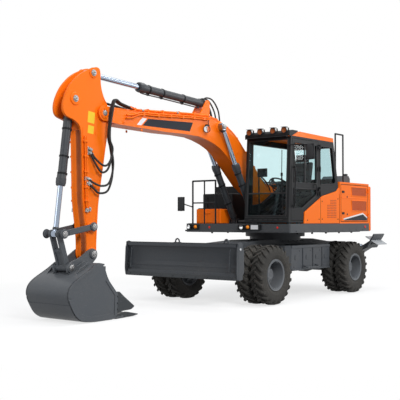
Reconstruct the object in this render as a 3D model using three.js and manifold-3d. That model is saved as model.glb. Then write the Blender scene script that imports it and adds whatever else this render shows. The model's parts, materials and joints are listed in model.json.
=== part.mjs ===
// Wheeled excavator, built as its real assembly:
// undercarriage, revolving upper structure, cab and digging gear.
// Millimetres, +X forward (digging side), +Y left (cab side), +Z up. The model is drawn about the
// swing axis, with the ground at Z = 0, and the finished machine is centred over its footprint at the end.
import * as THREE from 'three';
import { mergeVertices } from 'three/addons/utils/BufferGeometryUtils.js';
import Module from 'manifold-3d';

const wasm = await Module();
wasm.setup();

// ---------------------------------------------------------------- driving dimensions
const SEAT_GAP = 0.3; // between pieces that rest on each other
const PIN_GAP = 0.2; // radial, between a pin and its bore
const RUN_GAP = 8; // between pieces that move past each other
const GLASS_GAP = 0.4; // round a pane in its frame

// Wheels and axles
const tyreRadius = 528;
const tyreWidth = 262;
const tyreSides = 24; // a multiple of four, so that a quarter turn stands it on a flat again
const twinSpacing = 308; // centre to centre of a pair
const overallWidth = 2490; // over the outer tyres
const rimRadius = 254; // bead seat
const rimFlange = 276;
const rimWall = 16;
const wheelbase = 3030;
const frontAxleX = 1900; // ahead of the swing axis
const axleBeamRadius = 95;
const hubRadius = 132;
const spindleRadius = 58;
const kingpinRadius = 30;
const kingpinBoss = 56;
const kingpinHeight = 210;
const knuckleWall = 26;
const kingpinInset = 76; // the kingpin lies this far inside the twin wheel's inner edge

// Undercarriage
const deckClearance = 194; // from the tyres up to the revolving deck
const chassisHalf = 350;
const chassisDepth = 430;
const chassisRearX = -1780;
const chassisNoseX = 2400;
const stepHalf = 960; // outer face of the side step boxes
const stepDepth = 470;
const ringRadius = 600;
const ringHeight = 150;

// Blade
const bladeHeight = 606;
const bladeLift = 491; // lower edge above the ground, raised for travel
const bladeBack = 2955; // X of the plate's rear, behind its curve
const bladeThick = 28;
const bladeLinkLength = 420;
const bladeLinkRadius = 40;
const bladePin = 22;
const bladeBracketY = 215; // inner face of the brackets on nose and blade
const bracketPlate = 30;
const bladeCylinderY = 110;
const bladeLinkRise = 38; // degrees above level when raised
const bladeLinkGap = 170; // between the two parallel links

// Stabilisers
const stabiliserX = -2190;
// places across the machine, and down from the chassis's top
const stabiliserHingeDrop = [300, 600];
const stabiliserEyeDrop = [800, 180]; // rod's eye on the leg
const stabiliserFootDrop = [200, 120]; // barrel's foot on the frame
const stabiliserHalf = 150;
const padLength = 500;
const padHeight = 340;
const padThick = 30;
const padCentreDrop = [1180, 70];
const padTilt = 31; // degrees its face looks down when stowed
const hingePin = 25;

// Upper structure
const upperHalf = 1215;
const deckHeight = 165;
const deckFrontX = 1420;
const tailRadius = 2250;
const counterweightX = -1790;
const counterweightHeight = 950;
const hoodHeight = 830; // above the deck
const hoodFrontX = -477;
const panelWall = 30;

// Cab
const cabFrontX = 1445;
const cabRight = 240;
const cabLeft = 1200;
const cabHeight = 1600; // from the deck to the roof's seat
const cabWall = 55;
const doorWall = 42;
const glassThick = 6;

// Digging gear
const boomLine = -90; // Y of the boom's centre plane
const boomFoot = [100, 1740];
const boomLength = 5057;
const boomAngle = 15.84; // degrees above level
const boomHalf = 165;
const boomCylinderFoot = [950, 1455];
const boomDrawnLength = 5057; // the length that the outline and its lugs are drawn for
const boomStretch = boomLength / boomDrawnLength;
const boomCylinderEye = [2240 * boomStretch, 866]; // along and above the boom's chord
const boomCylinderSpread = 235;
const boomPin = 45;
const armLength = 2160;
const armAngle = -84.0;
const armHalf = 120;
const armCylinderFoot = [2600 * boomStretch, 1185]; // along and above the boom's chord
const armCylinderEye = [-567, 265]; // along and ahead of the arm
const bucketCylinderFoot = [-95, 585];
const linkPivot = [1755, 65]; // side links on the arm
const linkLength = 596;
const linkAngle = -9.7; // degrees above level at rest
const bucketWidth = 900;
const bucketWall = 22;
const bucketPin2 = [449, -187]; // push link's pin, from the bucket pin
const earThick = 28;

// ---------------------------------------------------------------- geometry helpers
const rad = (degrees) => (degrees * Math.PI) / 180;
const axleZ = tyreRadius * Math.cos(Math.PI / tyreSides);
const rearAxleX = frontAxleX - wheelbase;

// A closed geometry as a solid, with its faces turned outwards.
function solid(geometry) {
  const plain = geometry.clone();
  for (const name of Object.keys(plain.attributes)) {
    if (name !== 'position') plain.deleteAttribute(name);
  }
  const merged = mergeVertices(plain, 1e-3);
  const spots = merged.attributes.position;
  const index = merged.index.array;
  const a = new THREE.Vector3();
  const b = new THREE.Vector3();
  const c = new THREE.Vector3();
  const faces = [];
  let volume = 0;
  for (let i = 0; i < index.length; i += 3) {
    const [p, q, r] = index.slice(i, i + 3);
    if (p === q || q === r || r === p) continue;
    faces.push([p, q, r]);
    a.fromBufferAttribute(spots, p);
    b.fromBufferAttribute(spots, q);
    c.fromBufferAttribute(spots, r);
    volume += a.dot(b.cross(c));
  }
  const turned = volume < 0 ? faces.map(([p, q, r]) => [p, r, q]) : faces;
  const triVerts = new Uint32Array(turned.flat());
  return new wasm.Manifold(new wasm.Mesh({ numProp: 3, vertProperties: spots.array, triVerts }));
}

const join = (...parts) => parts.reduce((whole, part) => whole.add(part));
const cut = (whole, ...tools) => tools.reduce((left, tool) => left.subtract(tool), whole);
const move = (part, x, y, z) => part.translate([x, y, z]);

// A box between two corners.
function box(x0, x1, y0, y1, z0, z1) {
  const geometry = new THREE.BoxGeometry(x1 - x0, y1 - y0, z1 - z0);
  geometry.translate((x0 + x1) / 2, (y0 + y1) / 2, (z0 + z1) / 2);
  return solid(geometry);
}

const asShape = (outline) =>
  outline instanceof THREE.Shape
    ? outline
    : new THREE.Shape(outline.map(([u, v]) => new THREE.Vector2(u, v)));

const extruded = (outline, depth) =>
  new THREE.ExtrudeGeometry(asShape(outline), { depth, bevelEnabled: false, curveSegments: 8 });

// Outline in X and Z, extruded along Y.
function slabXZ(outline, y0, y1) {
  const geometry = extruded(outline, y1 - y0);
  geometry.rotateX(Math.PI / 2);
  geometry.translate(0, y1, 0);
  return solid(geometry);
}

// Outline in X and Y, extruded along Z.
function slabXY(outline, z0, z1) {
  const geometry = extruded(outline, z1 - z0);
  geometry.translate(0, 0, z0);
  return solid(geometry);
}

// Outline in Y and Z, extruded along X.
function slabYZ(outline, x0, x1) {
  const geometry = extruded(outline, x1 - x0);
  geometry.applyMatrix4(
    new THREE.Matrix4().makeBasis(
      new THREE.Vector3(0, 1, 0),
      new THREE.Vector3(0, 0, 1),
      new THREE.Vector3(1, 0, 0),
    ),
  );
  geometry.translate(x0, 0, 0);
  return solid(geometry);
}

// Turned profile of [radius, along] points, about an axis through the origin along X, Y or Z.
function turned(profile, axis, sides = 12) {
  const points = [...profile, profile[0]].map(([radius, along]) => new THREE.Vector2(radius, along));
  const geometry = new THREE.LatheGeometry(points, sides);
  if (axis === 'X') geometry.rotateZ(-Math.PI / 2);
  if (axis === 'Z') geometry.rotateX(Math.PI / 2);
  return solid(geometry);
}

const drum = (radius, from, to, axis, sides = 12) =>
  turned([[0, from], [radius, from], [radius, to], [0, to]], axis, sides);

// Bore that clears a pin of this radius at every angle between their facets.
function hole(radius, from, to, axis, sides = 16) {
  const half = 180 / sides;
  const turn = { X: [half, 0, 0], Y: [0, half, 0], Z: [0, 0, half] };
  return drum((radius + PIN_GAP) / Math.cos(Math.PI / sides), from, to, axis, sides).rotate(turn[axis]);
}

// Round bar from one point to another.
function bar(from, to, radius, sides = 8) {
  const start = new THREE.Vector3(...from);
  const run = new THREE.Vector3(...to).sub(start);
  const geometry = new THREE.CylinderGeometry(radius, radius, run.length(), sides);
  geometry.translate(0, run.length() / 2, 0);
  const upright = new THREE.Vector3(0, 1, 0);
  geometry.applyQuaternion(new THREE.Quaternion().setFromUnitVectors(upright, run.normalize()));
  geometry.translate(...from);
  return solid(geometry);
}

// Round tube along straight runs, with a ball in each corner.
function rail(points, radius, sides = 8) {
  const runs = points.slice(1).map((point, k) => bar(points[k], point, radius, sides));
  const ball = solid(new THREE.IcosahedronGeometry(radius * 1.08, 0));
  const balls = points.slice(1, -1).map((point) => move(ball, ...point));
  return join(...runs, ...balls);
}

// Disc outline of a boss, as points round a centre.
function arc([u, v], radius, from, to, steps) {
  const points = [];
  for (let k = 0; k <= steps; k += 1) {
    const turn = rad(from + ((to - from) * k) / steps);
    points.push([u + radius * Math.cos(turn), v + radius * Math.sin(turn)]);
  }
  return points;
}

// ---------------------------------------------------------------- materials
const paint = (color, roughness, metalness = 0) =>
  new THREE.MeshStandardMaterial({ color, roughness, metalness });
const ORANGE = paint(0xf2761c, 0.4);
const DARK = paint(0x3f4348, 0.5);
const STEEL = paint(0x50555b, 0.6, 0.3);
const CHROME = paint(0xc9ccd0, 0.15, 1);
const RUBBER = paint(0x4a4743, 0.9);
const RIM = paint(0x666b71, 0.5, 0.2);
const BLACK = paint(0x17181a, 0.6);
const GLASS = paint(0xa8cfd4, 0.05);
const TRIM = paint(0x24262a, 0.85);

// ---------------------------------------------------------------- scene graph helpers
const machine = new THREE.Group();

// A body that turns or slides at a point of its parent, drawn in its parent's own axes.
function jointAt(parent, name, [x, y, z]) {
  const pivot = new THREE.Group();
  pivot.name = name;
  pivot.position.set(x, y, z);
  const drawing = new THREE.Group();
  drawing.position.set(-x, -y, -z);
  pivot.add(drawing);
  parent.add(pivot);
  return drawing;
}

// A body drawn from its own pivot, with its X axis along a direction and its Y axis along the pin.
function frameAt(parent, name, [x, y, z], along, pin) {
  const pivot = new THREE.Group();
  pivot.name = name;
  pivot.position.set(x, y, z);
  const ahead = along.clone().normalize();
  const side = pin.clone().normalize();
  const up = ahead.clone().cross(side);
  pivot.quaternion.setFromRotationMatrix(new THREE.Matrix4().makeBasis(ahead, side, up));
  parent.add(pivot);
  return pivot;
}

// A named piece of a body.
function piece(body, name, shape, material) {
  const made = shape.getMesh();
  const geometry = new THREE.BufferGeometry();
  geometry.setAttribute('position', new THREE.BufferAttribute(Float32Array.from(made.vertProperties), 3));
  geometry.setIndex(new THREE.BufferAttribute(Uint32Array.from(made.triVerts), 1));
  geometry.computeVertexNormals();
  const mesh = new THREE.Mesh(geometry, material);
  mesh.name = name;
  body.add(mesh);
  return mesh;
}

// Both halves of a cylinder between a foot pin and a rod eye, in the parent's axes.
// sizes: tube and rod radii, length of the tube, eye radii, eye width and pin radius.
function cylinderFrames(parent, name, foot, eye, pin) {
  const run = new THREE.Vector3(...eye).sub(new THREE.Vector3(...foot));
  const barrel = frameAt(parent, `${name}_turn`, foot, run, pin);
  const rod = new THREE.Group();
  rod.name = `${name}_slide`;
  barrel.add(rod);
  return { barrel, rod, reach: run.length() };
}

function barrelShape({ tube, rod, tubeLength, footEye, eyeWidth, pin }) {
  const bottom = footEye * 0.7;
  const profile = [
    [0, bottom],
    [tube, bottom],
    [tube, tubeLength - tube],
    [tube * 1.12, tubeLength - tube],
    [tube * 1.12, tubeLength],
    [rod + PIN_GAP, tubeLength],
    [rod + PIN_GAP, bottom + tube],
    [0, bottom + tube],
  ];
  const eye = drum(footEye, -eyeWidth / 2, eyeWidth / 2, 'Y');
  const bore = hole(pin, -eyeWidth, eyeWidth, 'Y');
  return cut(join(turned(profile, 'X'), eye), bore);
}

function rodShape({ tube, rod, footEye, rodEye, rodEyeWidth, least }, reach) {
  const inner = reach - least + footEye * 0.7 + tube + RUN_GAP;
  const shaft = turned([[0, inner], [rod, inner], [rod, reach], [0, reach]], 'X');
  return join(shaft, move(drum(rodEye, -rodEyeWidth / 2, rodEyeWidth / 2, 'Y'), reach, 0, 0));
}

// ---------------------------------------------------------------- wheels
// One twin wheel is drawn about its own centre: two tyres on the spacer ring between them.
const tyreSection = tyreWidth / 2;
const twinHalf = twinSpacing / 2;
const beadHalf = tyreSection - rimWall - 22;

function tyrePair() {
  const shoulder = tyreRadius * 0.93;
  const belly = (shoulder + rimFlange) / 2;
  const bead = rimRadius + SEAT_GAP;
  const spacer = bead + 34;
  const clearOfFlange = rimFlange + RUN_GAP;
  const profile = [];
  for (const centre of [-twinHalf, twinHalf]) {
    if (centre < 0) {
      profile.push([bead, centre - beadHalf], [clearOfFlange, centre - beadHalf]);
    } else {
      profile.push([spacer, centre - tyreSection * 0.9]);
    }
    profile.push(
      [belly, centre - tyreSection],
      [shoulder, centre - tyreSection * 0.92],
      [tyreRadius, centre - tyreSection * 0.72],
      [tyreRadius, centre + tyreSection * 0.72],
      [shoulder, centre + tyreSection * 0.92],
      [belly, centre + tyreSection],
    );
    if (centre < 0) {
      profile.push([spacer, centre + tyreSection * 0.9]);
    } else {
      profile.push([clearOfFlange, centre + beadHalf], [bead, centre + beadHalf]);
    }
  }
  return turned(profile, 'Y', tyreSides);
}

// Both rims with their outer flanges, the disc and the closed hub, drawn with the outside towards +Y.
const rimFlangeAt = twinHalf + beadHalf + SEAT_GAP;
const hubInner = -110;
const hubOuter = 150;
const spindleDepth = 60;

function rimPair() {
  const bore = (spindleRadius + PIN_GAP) / Math.cos(Math.PI / tyreSides);
  const discAt = 10;
  const dish = rimRadius - rimWall;
  const profile = [
    [rimRadius, -rimFlangeAt],
    [rimFlange, -rimFlangeAt],
    [rimFlange, -rimFlangeAt - rimWall],
    [dish, -rimFlangeAt - rimWall],
    [dish, discAt - rimWall],
    [hubRadius, discAt - rimWall],
    [hubRadius, hubInner],
    [bore, hubInner],
    [bore, spindleDepth],
    [0, spindleDepth],
    [0, hubOuter],
    [hubRadius * 0.8, hubOuter],
    [hubRadius, hubOuter - 30],
    [hubRadius, discAt + rimWall],
    [dish, discAt + rimWall],
    [dish, rimFlangeAt + rimWall],
    [rimFlange, rimFlangeAt + rimWall],
    [rimFlange, rimFlangeAt],
    [rimRadius, rimFlangeAt],
  ];
  return turned(profile, 'Y', tyreSides);
}

const wheelY = overallWidth / 2 - tyreSection - twinHalf;
const kingpinY = wheelY - twinHalf - tyreSection + kingpinInset;

function addWheel(parent, end, side, x) {
  const centre = [x, side * wheelY, axleZ];
  const label = `${end}_${side > 0 ? 'left' : 'right'}`;
  const wheel = jointAt(parent, `wheel_${label}`, centre);
  // the lathe starts on a corner, so half a facet's turn stands the tyre on a flat
  const onFlat = 180 / tyreSides;
  const seated = (shape) => move(shape.rotate([0, onFlat, 0]).scale([1, side, 1]), ...centre);
  piece(wheel, `tyre_${label}`, seated(tyrePair()), RUBBER);
  piece(wheel, `rim_${label}`, seated(rimPair()), RIM);
}

// ---------------------------------------------------------------- undercarriage
const deckBottom = 2 * tyreRadius + deckClearance;
const deckLevel = 1250; // height of the deck's underside that the upper structure is drawn at
const deckTop = deckLevel + deckHeight;
const chassisTop = deckBottom - ringHeight;
const chassisBottom = chassisTop - chassisDepth;
const bladeArmFoot = [chassisNoseX + 60, bladeLift + 105];
const bladeLinkFoot = [bladeArmFoot[0], bladeArmFoot[1] + bladeLinkGap];
const bladeCylinderFoot = [chassisNoseX + 50, bladeLift + 519];
const bladeCylinderEye = [bladeBack - 95, bladeLift + 109];
const bladeRun = [
  bladeLinkLength * Math.cos(rad(bladeLinkRise)),
  bladeLinkLength * Math.sin(rad(bladeLinkRise)),
];
const bladeArmEnd = [bladeArmFoot[0] + bladeRun[0], bladeArmFoot[1] + bladeRun[1]];
const bladeLinkEnd = [bladeLinkFoot[0] + bladeRun[0], bladeLinkFoot[1] + bladeRun[1]];
const bothSides = (make) => join(make(1), make(-1));
const mirrorY = (shape, side) => shape.scale([1, side, 1]);
const downFromTop = ([y, drop]) => [y, chassisTop - drop];
const stabiliserHinge = downFromTop(stabiliserHingeDrop);
const stabiliserEye = downFromTop(stabiliserEyeDrop);
const stabiliserFoot = downFromTop(stabiliserFootDrop);
const padCentre = downFromTop(padCentreDrop);
const stabiliserRear = stabiliserX - stabiliserHalf;
const stabiliserFront = stabiliserX + stabiliserHalf;

function chassis() {
  const side = [
    [chassisRearX, chassisBottom + 100],
    [chassisRearX + 160, chassisBottom],
    [chassisNoseX - 200, chassisBottom],
    [chassisNoseX, chassisBottom + 60],
    [chassisNoseX, chassisTop - 60],
    [chassisNoseX - 260, chassisTop - 60],
    [ringRadius + 420, chassisTop],
    [-ringRadius - 320, chassisTop],
    [chassisRearX, chassisTop - 90],
  ];
  const frame = slabXZ(side, -chassisHalf, chassisHalf);
  const ring = join(
    drum(ringRadius * 0.86, chassisTop - 30, chassisTop + ringHeight * 0.4, 'Z', 28),
    drum(ringRadius, chassisTop + ringHeight * 0.4 - 1, deckBottom - SEAT_GAP, 'Z', 28),
  );
  const stepTop = chassisTop - 96;
  const stepBack = rearAxleX + tyreRadius + 90;
  const stepFront = frontAxleX - tyreRadius - 330;
  const stepPlan = [
    [stepBack, chassisHalf - 1],
    [stepFront, chassisHalf - 1],
    [stepFront, stepHalf - 90],
    [stepFront - 90, stepHalf],
    [stepBack, stepHalf],
  ];
  const steps = bothSides((hand) => mirrorY(slabXY(stepPlan, stepTop - stepDepth, stepTop), hand));
  // brackets of the blade's links and cylinders on the nose
  const noseOutline = [
    [chassisNoseX - 120, chassisBottom + 80],
    [chassisNoseX - 120, chassisBottom - 40],
    ...arc(bladeArmFoot, 48, 215, 360, 6),
    [bladeLinkFoot[0] + 46, bladeLinkFoot[1]],
    ...arc(bladeCylinderFoot, 44, 0, 130, 5),
    [chassisNoseX - 60, chassisTop - 70],
  ];
  const noseBrackets = bothSides((hand) =>
    mirrorY(slabXZ(noseOutline, bladeBracketY, bladeBracketY + bracketPlate), hand));
  const boreAt = ([x, z]) => move(hole(bladePin, -chassisHalf, chassisHalf, 'Y'), x, 0, z);
  // rear frame of the stabilisers, with their hinge pins and the pins of their cylinders
  const mountTop = chassisTop - 90;
  const mountLow = stabiliserHinge[1] - 45;
  const reachY = stabiliserHinge[0] + 60;
  const mount = join(
    box(stabiliserFront + 10, chassisRearX + 1, -reachY, reachY, mountLow, mountTop),
    box(stabiliserRear - 35, stabiliserRear - 10, -reachY, reachY, mountLow, mountTop),
    box(stabiliserRear - 11, stabiliserFront + 11, -100, 100, mountLow, mountTop),
  );
  const pins = bothSides((hand) => {
    const spans = [stabiliserRear - 20, stabiliserFront + 20];
    const pinAt = ([y, z]) => move(drum(hingePin, ...spans, 'X', 16), 0, hand * y, z);
    return join(pinAt(stabiliserHinge), pinAt(stabiliserFoot));
  });
  const nose = cut(noseBrackets, boreAt(bladeArmFoot), boreAt(bladeLinkFoot), boreAt(bladeCylinderFoot));
  return join(frame, ring, steps, nose, mount, pins);
}

function axleBody(halfBeam) {
  const centre = turned(
    [[0, -200], [100, -200], [136, -90], [136, 90], [100, 200], [0, 200]],
    'Y',
    20,
  );
  const beam = drum(axleBeamRadius, -halfBeam, halfBeam, 'Y', 20);
  const seats = bothSides((hand) =>
    mirrorY(box(-90, 90, 230, 330, 0, chassisBottom - SEAT_GAP - axleZ), hand));
  return join(centre, beam, seats);
}

function rearAxle() {
  const spindle = drum(spindleRadius, -wheelY - spindleDepth + 6, wheelY + spindleDepth - 6, 'Y', 20);
  return move(join(axleBody(wheelY + hubInner - RUN_GAP), spindle), rearAxleX, 0, axleZ);
}

const steeringRodX = -190;
const steeringRodZ = -85;
const steeringRodRadius = 22;
const steeringRodHalf = 560;

function frontAxle() {
  const armHeight = kingpinHeight / 2;
  const arms = bothSides((hand) => {
    const arm = box(-60, 60, 540, kingpinY, -armHeight * 0.7, armHeight * 0.7);
    const boss = move(drum(kingpinBoss, -armHeight, armHeight, 'Z', 20), 0, kingpinY, 0);
    const bore = move(hole(kingpinRadius, -armHeight - 1, armHeight + 1, 'Z'), 0, kingpinY, 0);
    return mirrorY(cut(join(arm, boss), bore), hand);
  });
  const sleeve = join(
    move(drum(steeringRodRadius + 16, -260, 260, 'Y', 16), steeringRodX, 0, steeringRodZ),
    box(steeringRodX, 0, -200, 200, steeringRodZ - 20, steeringRodZ + 20),
  );
  const bore = move(hole(steeringRodRadius, -300, 300, 'Y', 16), steeringRodX, 0, steeringRodZ);
  return move(join(cut(join(axleBody(545), sleeve), bore), arms), frontAxleX, 0, axleZ);
}

// Fork over the kingpin boss, with the wheel's spindle and the steering arm.
function knuckle(side) {
  const half = kingpinHeight / 2 + SEAT_GAP;
  const plateY = kingpinY + kingpinBoss + RUN_GAP;
  const spindleEnd = wheelY + spindleDepth - 6;
  const ear = (low) =>
    join(
      move(drum(kingpinBoss, low, low + knuckleWall, 'Z', 20), 0, kingpinY, 0),
      box(-kingpinBoss, kingpinBoss, kingpinY, plateY + 1, low, low + knuckleWall),
    );
  const armLow = -half - knuckleWall - 10;
  const armPlan = [
    [20, kingpinY - 20],
    [-10, kingpinY + 50],
    [steeringRodX - 24, steeringRodHalf + 40],
    [steeringRodX - 24, steeringRodHalf - 10],
    [steeringRodX + 30, steeringRodHalf - 10],
  ];
  const shape = join(
    ear(half),
    ear(-half - knuckleWall),
    move(drum(kingpinRadius, -half - 1, half + 1, 'Z', 16), 0, kingpinY, 0),
    box(-110, 110, plateY, plateY + knuckleWall, -half - knuckleWall, half + knuckleWall),
    drum(spindleRadius, plateY + 1, spindleEnd, 'Y', 20),
    slabXY(armPlan, armLow, armLow + knuckleWall - 2),
  );
  return move(mirrorY(shape, side), frontAxleX, 0, axleZ);
}

// ---------------------------------------------------------------- blade
const bladeOutline = [
  [bladeBack + 110, bladeLift],
  [bladeBack + 50, bladeLift + 110],
  [bladeBack + 30, bladeLift + 270],
  [bladeBack + 46, bladeLift + 430],
  [bladeBack + 92, bladeLift + 560],
  [bladeBack + 118, bladeLift + bladeHeight],
  [bladeBack + 84, bladeLift + bladeHeight],
  [bladeBack + 18, bladeLift + 440],
  [bladeBack, bladeLift + 270],
  [bladeBack + 20, bladeLift + 100],
  [bladeBack + 78, bladeLift],
];

function blade() {
  const half = overallWidth / 2;
  const sheet = slabXZ(bladeOutline, -half, half);
  const sideOutline = [
    [bladeBack + 112, bladeLift],
    [bladeBack + 122, bladeLift + bladeHeight - 4],
    [bladeBack + 60, bladeLift + bladeHeight + 14],
    [bladeBack - 40, bladeLift + bladeHeight - 120],
    [bladeBack - 40, bladeLift + 130],
    [bladeBack + 60, bladeLift],
  ];
  const sides = bothSides((hand) => mirrorY(slabXZ(sideOutline, half - bladeThick, half), hand));
  const bracketOutline = [
    ...arc(bladeArmEnd, 44, 180, 260, 3),
    [bladeBack + 30, bladeArmEnd[1] - 110],
    [bladeBack + 40, bladeLinkEnd[1] + 20],
    ...arc(bladeLinkEnd, 44, 80, 180, 4),
  ];
  const brackets = bothSides((hand) =>
    mirrorY(slabXZ(bracketOutline, bladeBracketY, bladeBracketY + bracketPlate), hand));
  const pins = bothSides((hand) =>
    join(
      mirrorY(move(drum(bladePin, bladeBracketY + 1, 292, 'Y', 16), bladeArmEnd[0], 0, bladeArmEnd[1]), hand),
      mirrorY(
        move(drum(bladePin, 178, bladeBracketY + 9, 'Y', 16), bladeLinkEnd[0], 0, bladeLinkEnd[1]),
        hand,
      ),
    ));
  const rodLugOutline = [
    ...arc(bladeCylinderEye, 40, 90, 270, 6),
    [bladeBack + 40, bladeCylinderEye[1] - 60],
    [bladeBack + 30, bladeCylinderEye[1] + 60],
  ];
  const rodLugs = bothSides((hand) => mirrorY(slabXZ(rodLugOutline, 170, 195), hand));
  return join(sheet, sides, brackets, pins, rodLugs);
}

// Two parallel links and the shaft that joins them at the foot.
function bladeLinks(foot, end, near, far, shaftEnd) {
  const across = (radius, from, to, [x, z]) => move(drum(radius, from, to, 'Y', 16), x, 0, z);
  const run = new THREE.Vector2(end[0] - foot[0], end[1] - foot[1]).normalize();
  const half = bladeLinkRadius * 0.8;
  const offset = [-run.y * half, run.x * half];
  const outline = [
    [foot[0] + offset[0], foot[1] + offset[1]],
    [foot[0] - offset[0], foot[1] - offset[1]],
    [end[0] - offset[0], end[1] - offset[1]],
    [end[0] + offset[0], end[1] + offset[1]],
  ];
  const links = bothSides((hand) =>
    mirrorY(
      join(
        slabXZ(outline, near, far),
        across(bladeLinkRadius, near, far, foot),
        across(bladeLinkRadius, near, far, end),
      ),
      hand,
    ));
  return join(
    cut(links, move(hole(bladePin, -400, 400, 'Y'), end[0], 0, end[1])),
    across(bladePin, -shaftEnd, shaftEnd, foot),
  );
}

// ---------------------------------------------------------------- stabilisers
function stabiliserLeg(side) {
  const [hy, hz] = stabiliserHinge;
  const [py, pz] = padCentre;
  const run = new THREE.Vector2(py - hy, pz - hz).normalize();
  const half = 46;
  const off = [-run.y * half, run.x * half];
  const tip = [py - run.x * 40, pz - run.y * 40];
  const beam = slabYZ(
    [
      [hy + off[0], hz + off[1]],
      [hy - off[0], hz - off[1]],
      [tip[0] - off[0], tip[1] - off[1]],
      [tip[0] + off[0], tip[1] + off[1]],
    ],
    stabiliserRear,
    stabiliserFront,
  );
  const boss = move(drum(55, stabiliserRear, stabiliserFront, 'X', 20), 0, hy, hz);
  const bore = move(hole(hingePin, stabiliserRear - 1, stabiliserFront + 1, 'X'), 0, hy, hz);
  const lugOutline = [
    ...arc(stabiliserEye, 42, 20, 200, 6),
    [stabiliserEye[0] - 90, stabiliserEye[1] - 160],
    [stabiliserEye[0] + 130, stabiliserEye[1] - 60],
  ];
  const lugs = join(
    slabYZ(lugOutline, stabiliserX - 75, stabiliserX - 55),
    slabYZ(lugOutline, stabiliserX + 55, stabiliserX + 75),
  );
  const face = new THREE.Vector2(Math.cos(rad(-padTilt)), Math.sin(rad(-padTilt)));
  const along = [-face.y * (padHeight / 2), face.x * (padHeight / 2)];
  const back = [face.x * padThick, face.y * padThick];
  const pad = slabYZ(
    [
      [py + along[0], pz + along[1]],
      [py - along[0], pz - along[1]],
      [py - along[0] - back[0], pz - along[1] - back[1]],
      [py + along[0] - back[0], pz + along[1] - back[1]],
    ],
    stabiliserX - padLength / 2,
    stabiliserX + padLength / 2,
  );
  return mirrorY(join(cut(join(beam, boss), bore), lugs, pad), side);
}

// ---------------------------------------------------------------- assembly of the undercarriage
piece(machine, 'chassis', chassis(), DARK);
piece(machine, 'rear_axle', rearAxle(), DARK);
piece(machine, 'front_axle', frontAxle(), DARK);
addWheel(machine, 'rear', 1, rearAxleX);
addWheel(machine, 'rear', -1, rearAxleX);
for (const side of [1, -1]) {
  const hand = side > 0 ? 'left' : 'right';
  const steered = jointAt(machine, `steer_${hand}`, [frontAxleX, side * kingpinY, axleZ]);
  piece(steered, `knuckle_${hand}`, knuckle(side), DARK);
  addWheel(steered, 'front', side, frontAxleX);
}
const rodGroup = jointAt(machine, 'steering_slide', [frontAxleX + steeringRodX, 0, axleZ + steeringRodZ]);
const steeringRod = drum(steeringRodRadius, -steeringRodHalf, steeringRodHalf, 'Y', 16);
piece(
  rodGroup,
  'steering_rod',
  move(steeringRod, frontAxleX + steeringRodX, 0, axleZ + steeringRodZ),
  CHROME,
);

const bladeArms = jointAt(machine, 'blade_lift', [bladeArmFoot[0], 0, bladeArmFoot[1]]);
piece(bladeArms, 'blade_arms', bladeLinks(bladeArmFoot, bladeArmEnd, 250, 290, 290), DARK);
const upperLinks = jointAt(machine, 'blade_link_turn', [bladeLinkFoot[0], 0, bladeLinkFoot[1]]);
piece(upperLinks, 'blade_links', bladeLinks(bladeLinkFoot, bladeLinkEnd, 180, 210, 244), DARK);
const bladeBody = jointAt(bladeArms, 'blade_level', [bladeArmEnd[0], 0, bladeArmEnd[1]]);
piece(bladeBody, 'dozer_blade', blade(), DARK);

const bladeRam = {
  tube: 38,
  rod: 22,
  tubeLength: 520,
  footEye: 40,
  eyeWidth: 60,
  pin: 0,
  rodEye: 36,
  rodEyeWidth: 60,
};
const acrossY = new THREE.Vector3(0, 1, 0);
const at = ([x, z], y) => [x, y, z];
const bladeFrames = cylinderFrames(
  machine,
  'blade_ram',
  at(bladeCylinderFoot, 0),
  at(bladeCylinderEye, 0),
  acrossY,
);
const pairOf = (shape, y) => join(move(shape, 0, y, 0), move(shape, 0, -y, 0));
bladeRam.least = bladeFrames.reach;
const bladeShaft = drum(bladePin, -bladeBracketY - 28, bladeBracketY + 28, 'Y', 16);
piece(
  bladeFrames.barrel,
  'blade_barrels',
  join(pairOf(barrelShape(bladeRam), bladeCylinderY), bladeShaft),
  DARK,
);
const bladeRodTie = move(drum(20, -160, 160, 'Y', 16), bladeFrames.reach, 0, 0);
piece(
  bladeFrames.rod,
  'blade_rods',
  join(pairOf(rodShape(bladeRam, bladeFrames.reach), bladeCylinderY), bladeRodTie),
  CHROME,
);

const stabiliserRam = {
  tube: 40,
  rod: 24,
  tubeLength: 540,
  footEye: 45,
  eyeWidth: 90,
  pin: hingePin,
  rodEye: 40,
  rodEyeWidth: 90,
};
for (const side of [1, -1]) {
  const hand = side > 0 ? 'left' : 'right';
  const hinge = [stabiliserX, side * stabiliserHinge[0], stabiliserHinge[1]];
  const swingPivot = jointAt(machine, `stabiliser_swing_${hand}`, hinge);
  piece(swingPivot, `stabiliser_leg_${hand}`, stabiliserLeg(side), DARK);
  const foot = [stabiliserX, side * stabiliserFoot[0], stabiliserFoot[1]];
  const eye = [stabiliserX, side * stabiliserEye[0], stabiliserEye[1]];
  const frames = cylinderFrames(machine, `stabiliser_ram_${hand}`, foot, eye, new THREE.Vector3(-side, 0, 0));
  stabiliserRam.least = frames.reach;
  piece(frames.barrel, `stabiliser_barrel_${hand}`, barrelShape(stabiliserRam), DARK);
  piece(frames.rod, `stabiliser_rod_${hand}`, rodShape(stabiliserRam, frames.reach), CHROME);
}

// ---------------------------------------------------------------- upper structure
const upper = new THREE.Group();
upper.name = 'swing';
upper.position.set(0, 0, deckBottom);
const upperDrawing = new THREE.Group();
upperDrawing.position.set(0, 0, -deckLevel);
upper.add(upperDrawing);
machine.add(upper);
const seatZ = deckTop + SEAT_GAP;
const ramY = [boomLine + boomCylinderSpread, boomLine - boomCylinderSpread];

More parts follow.
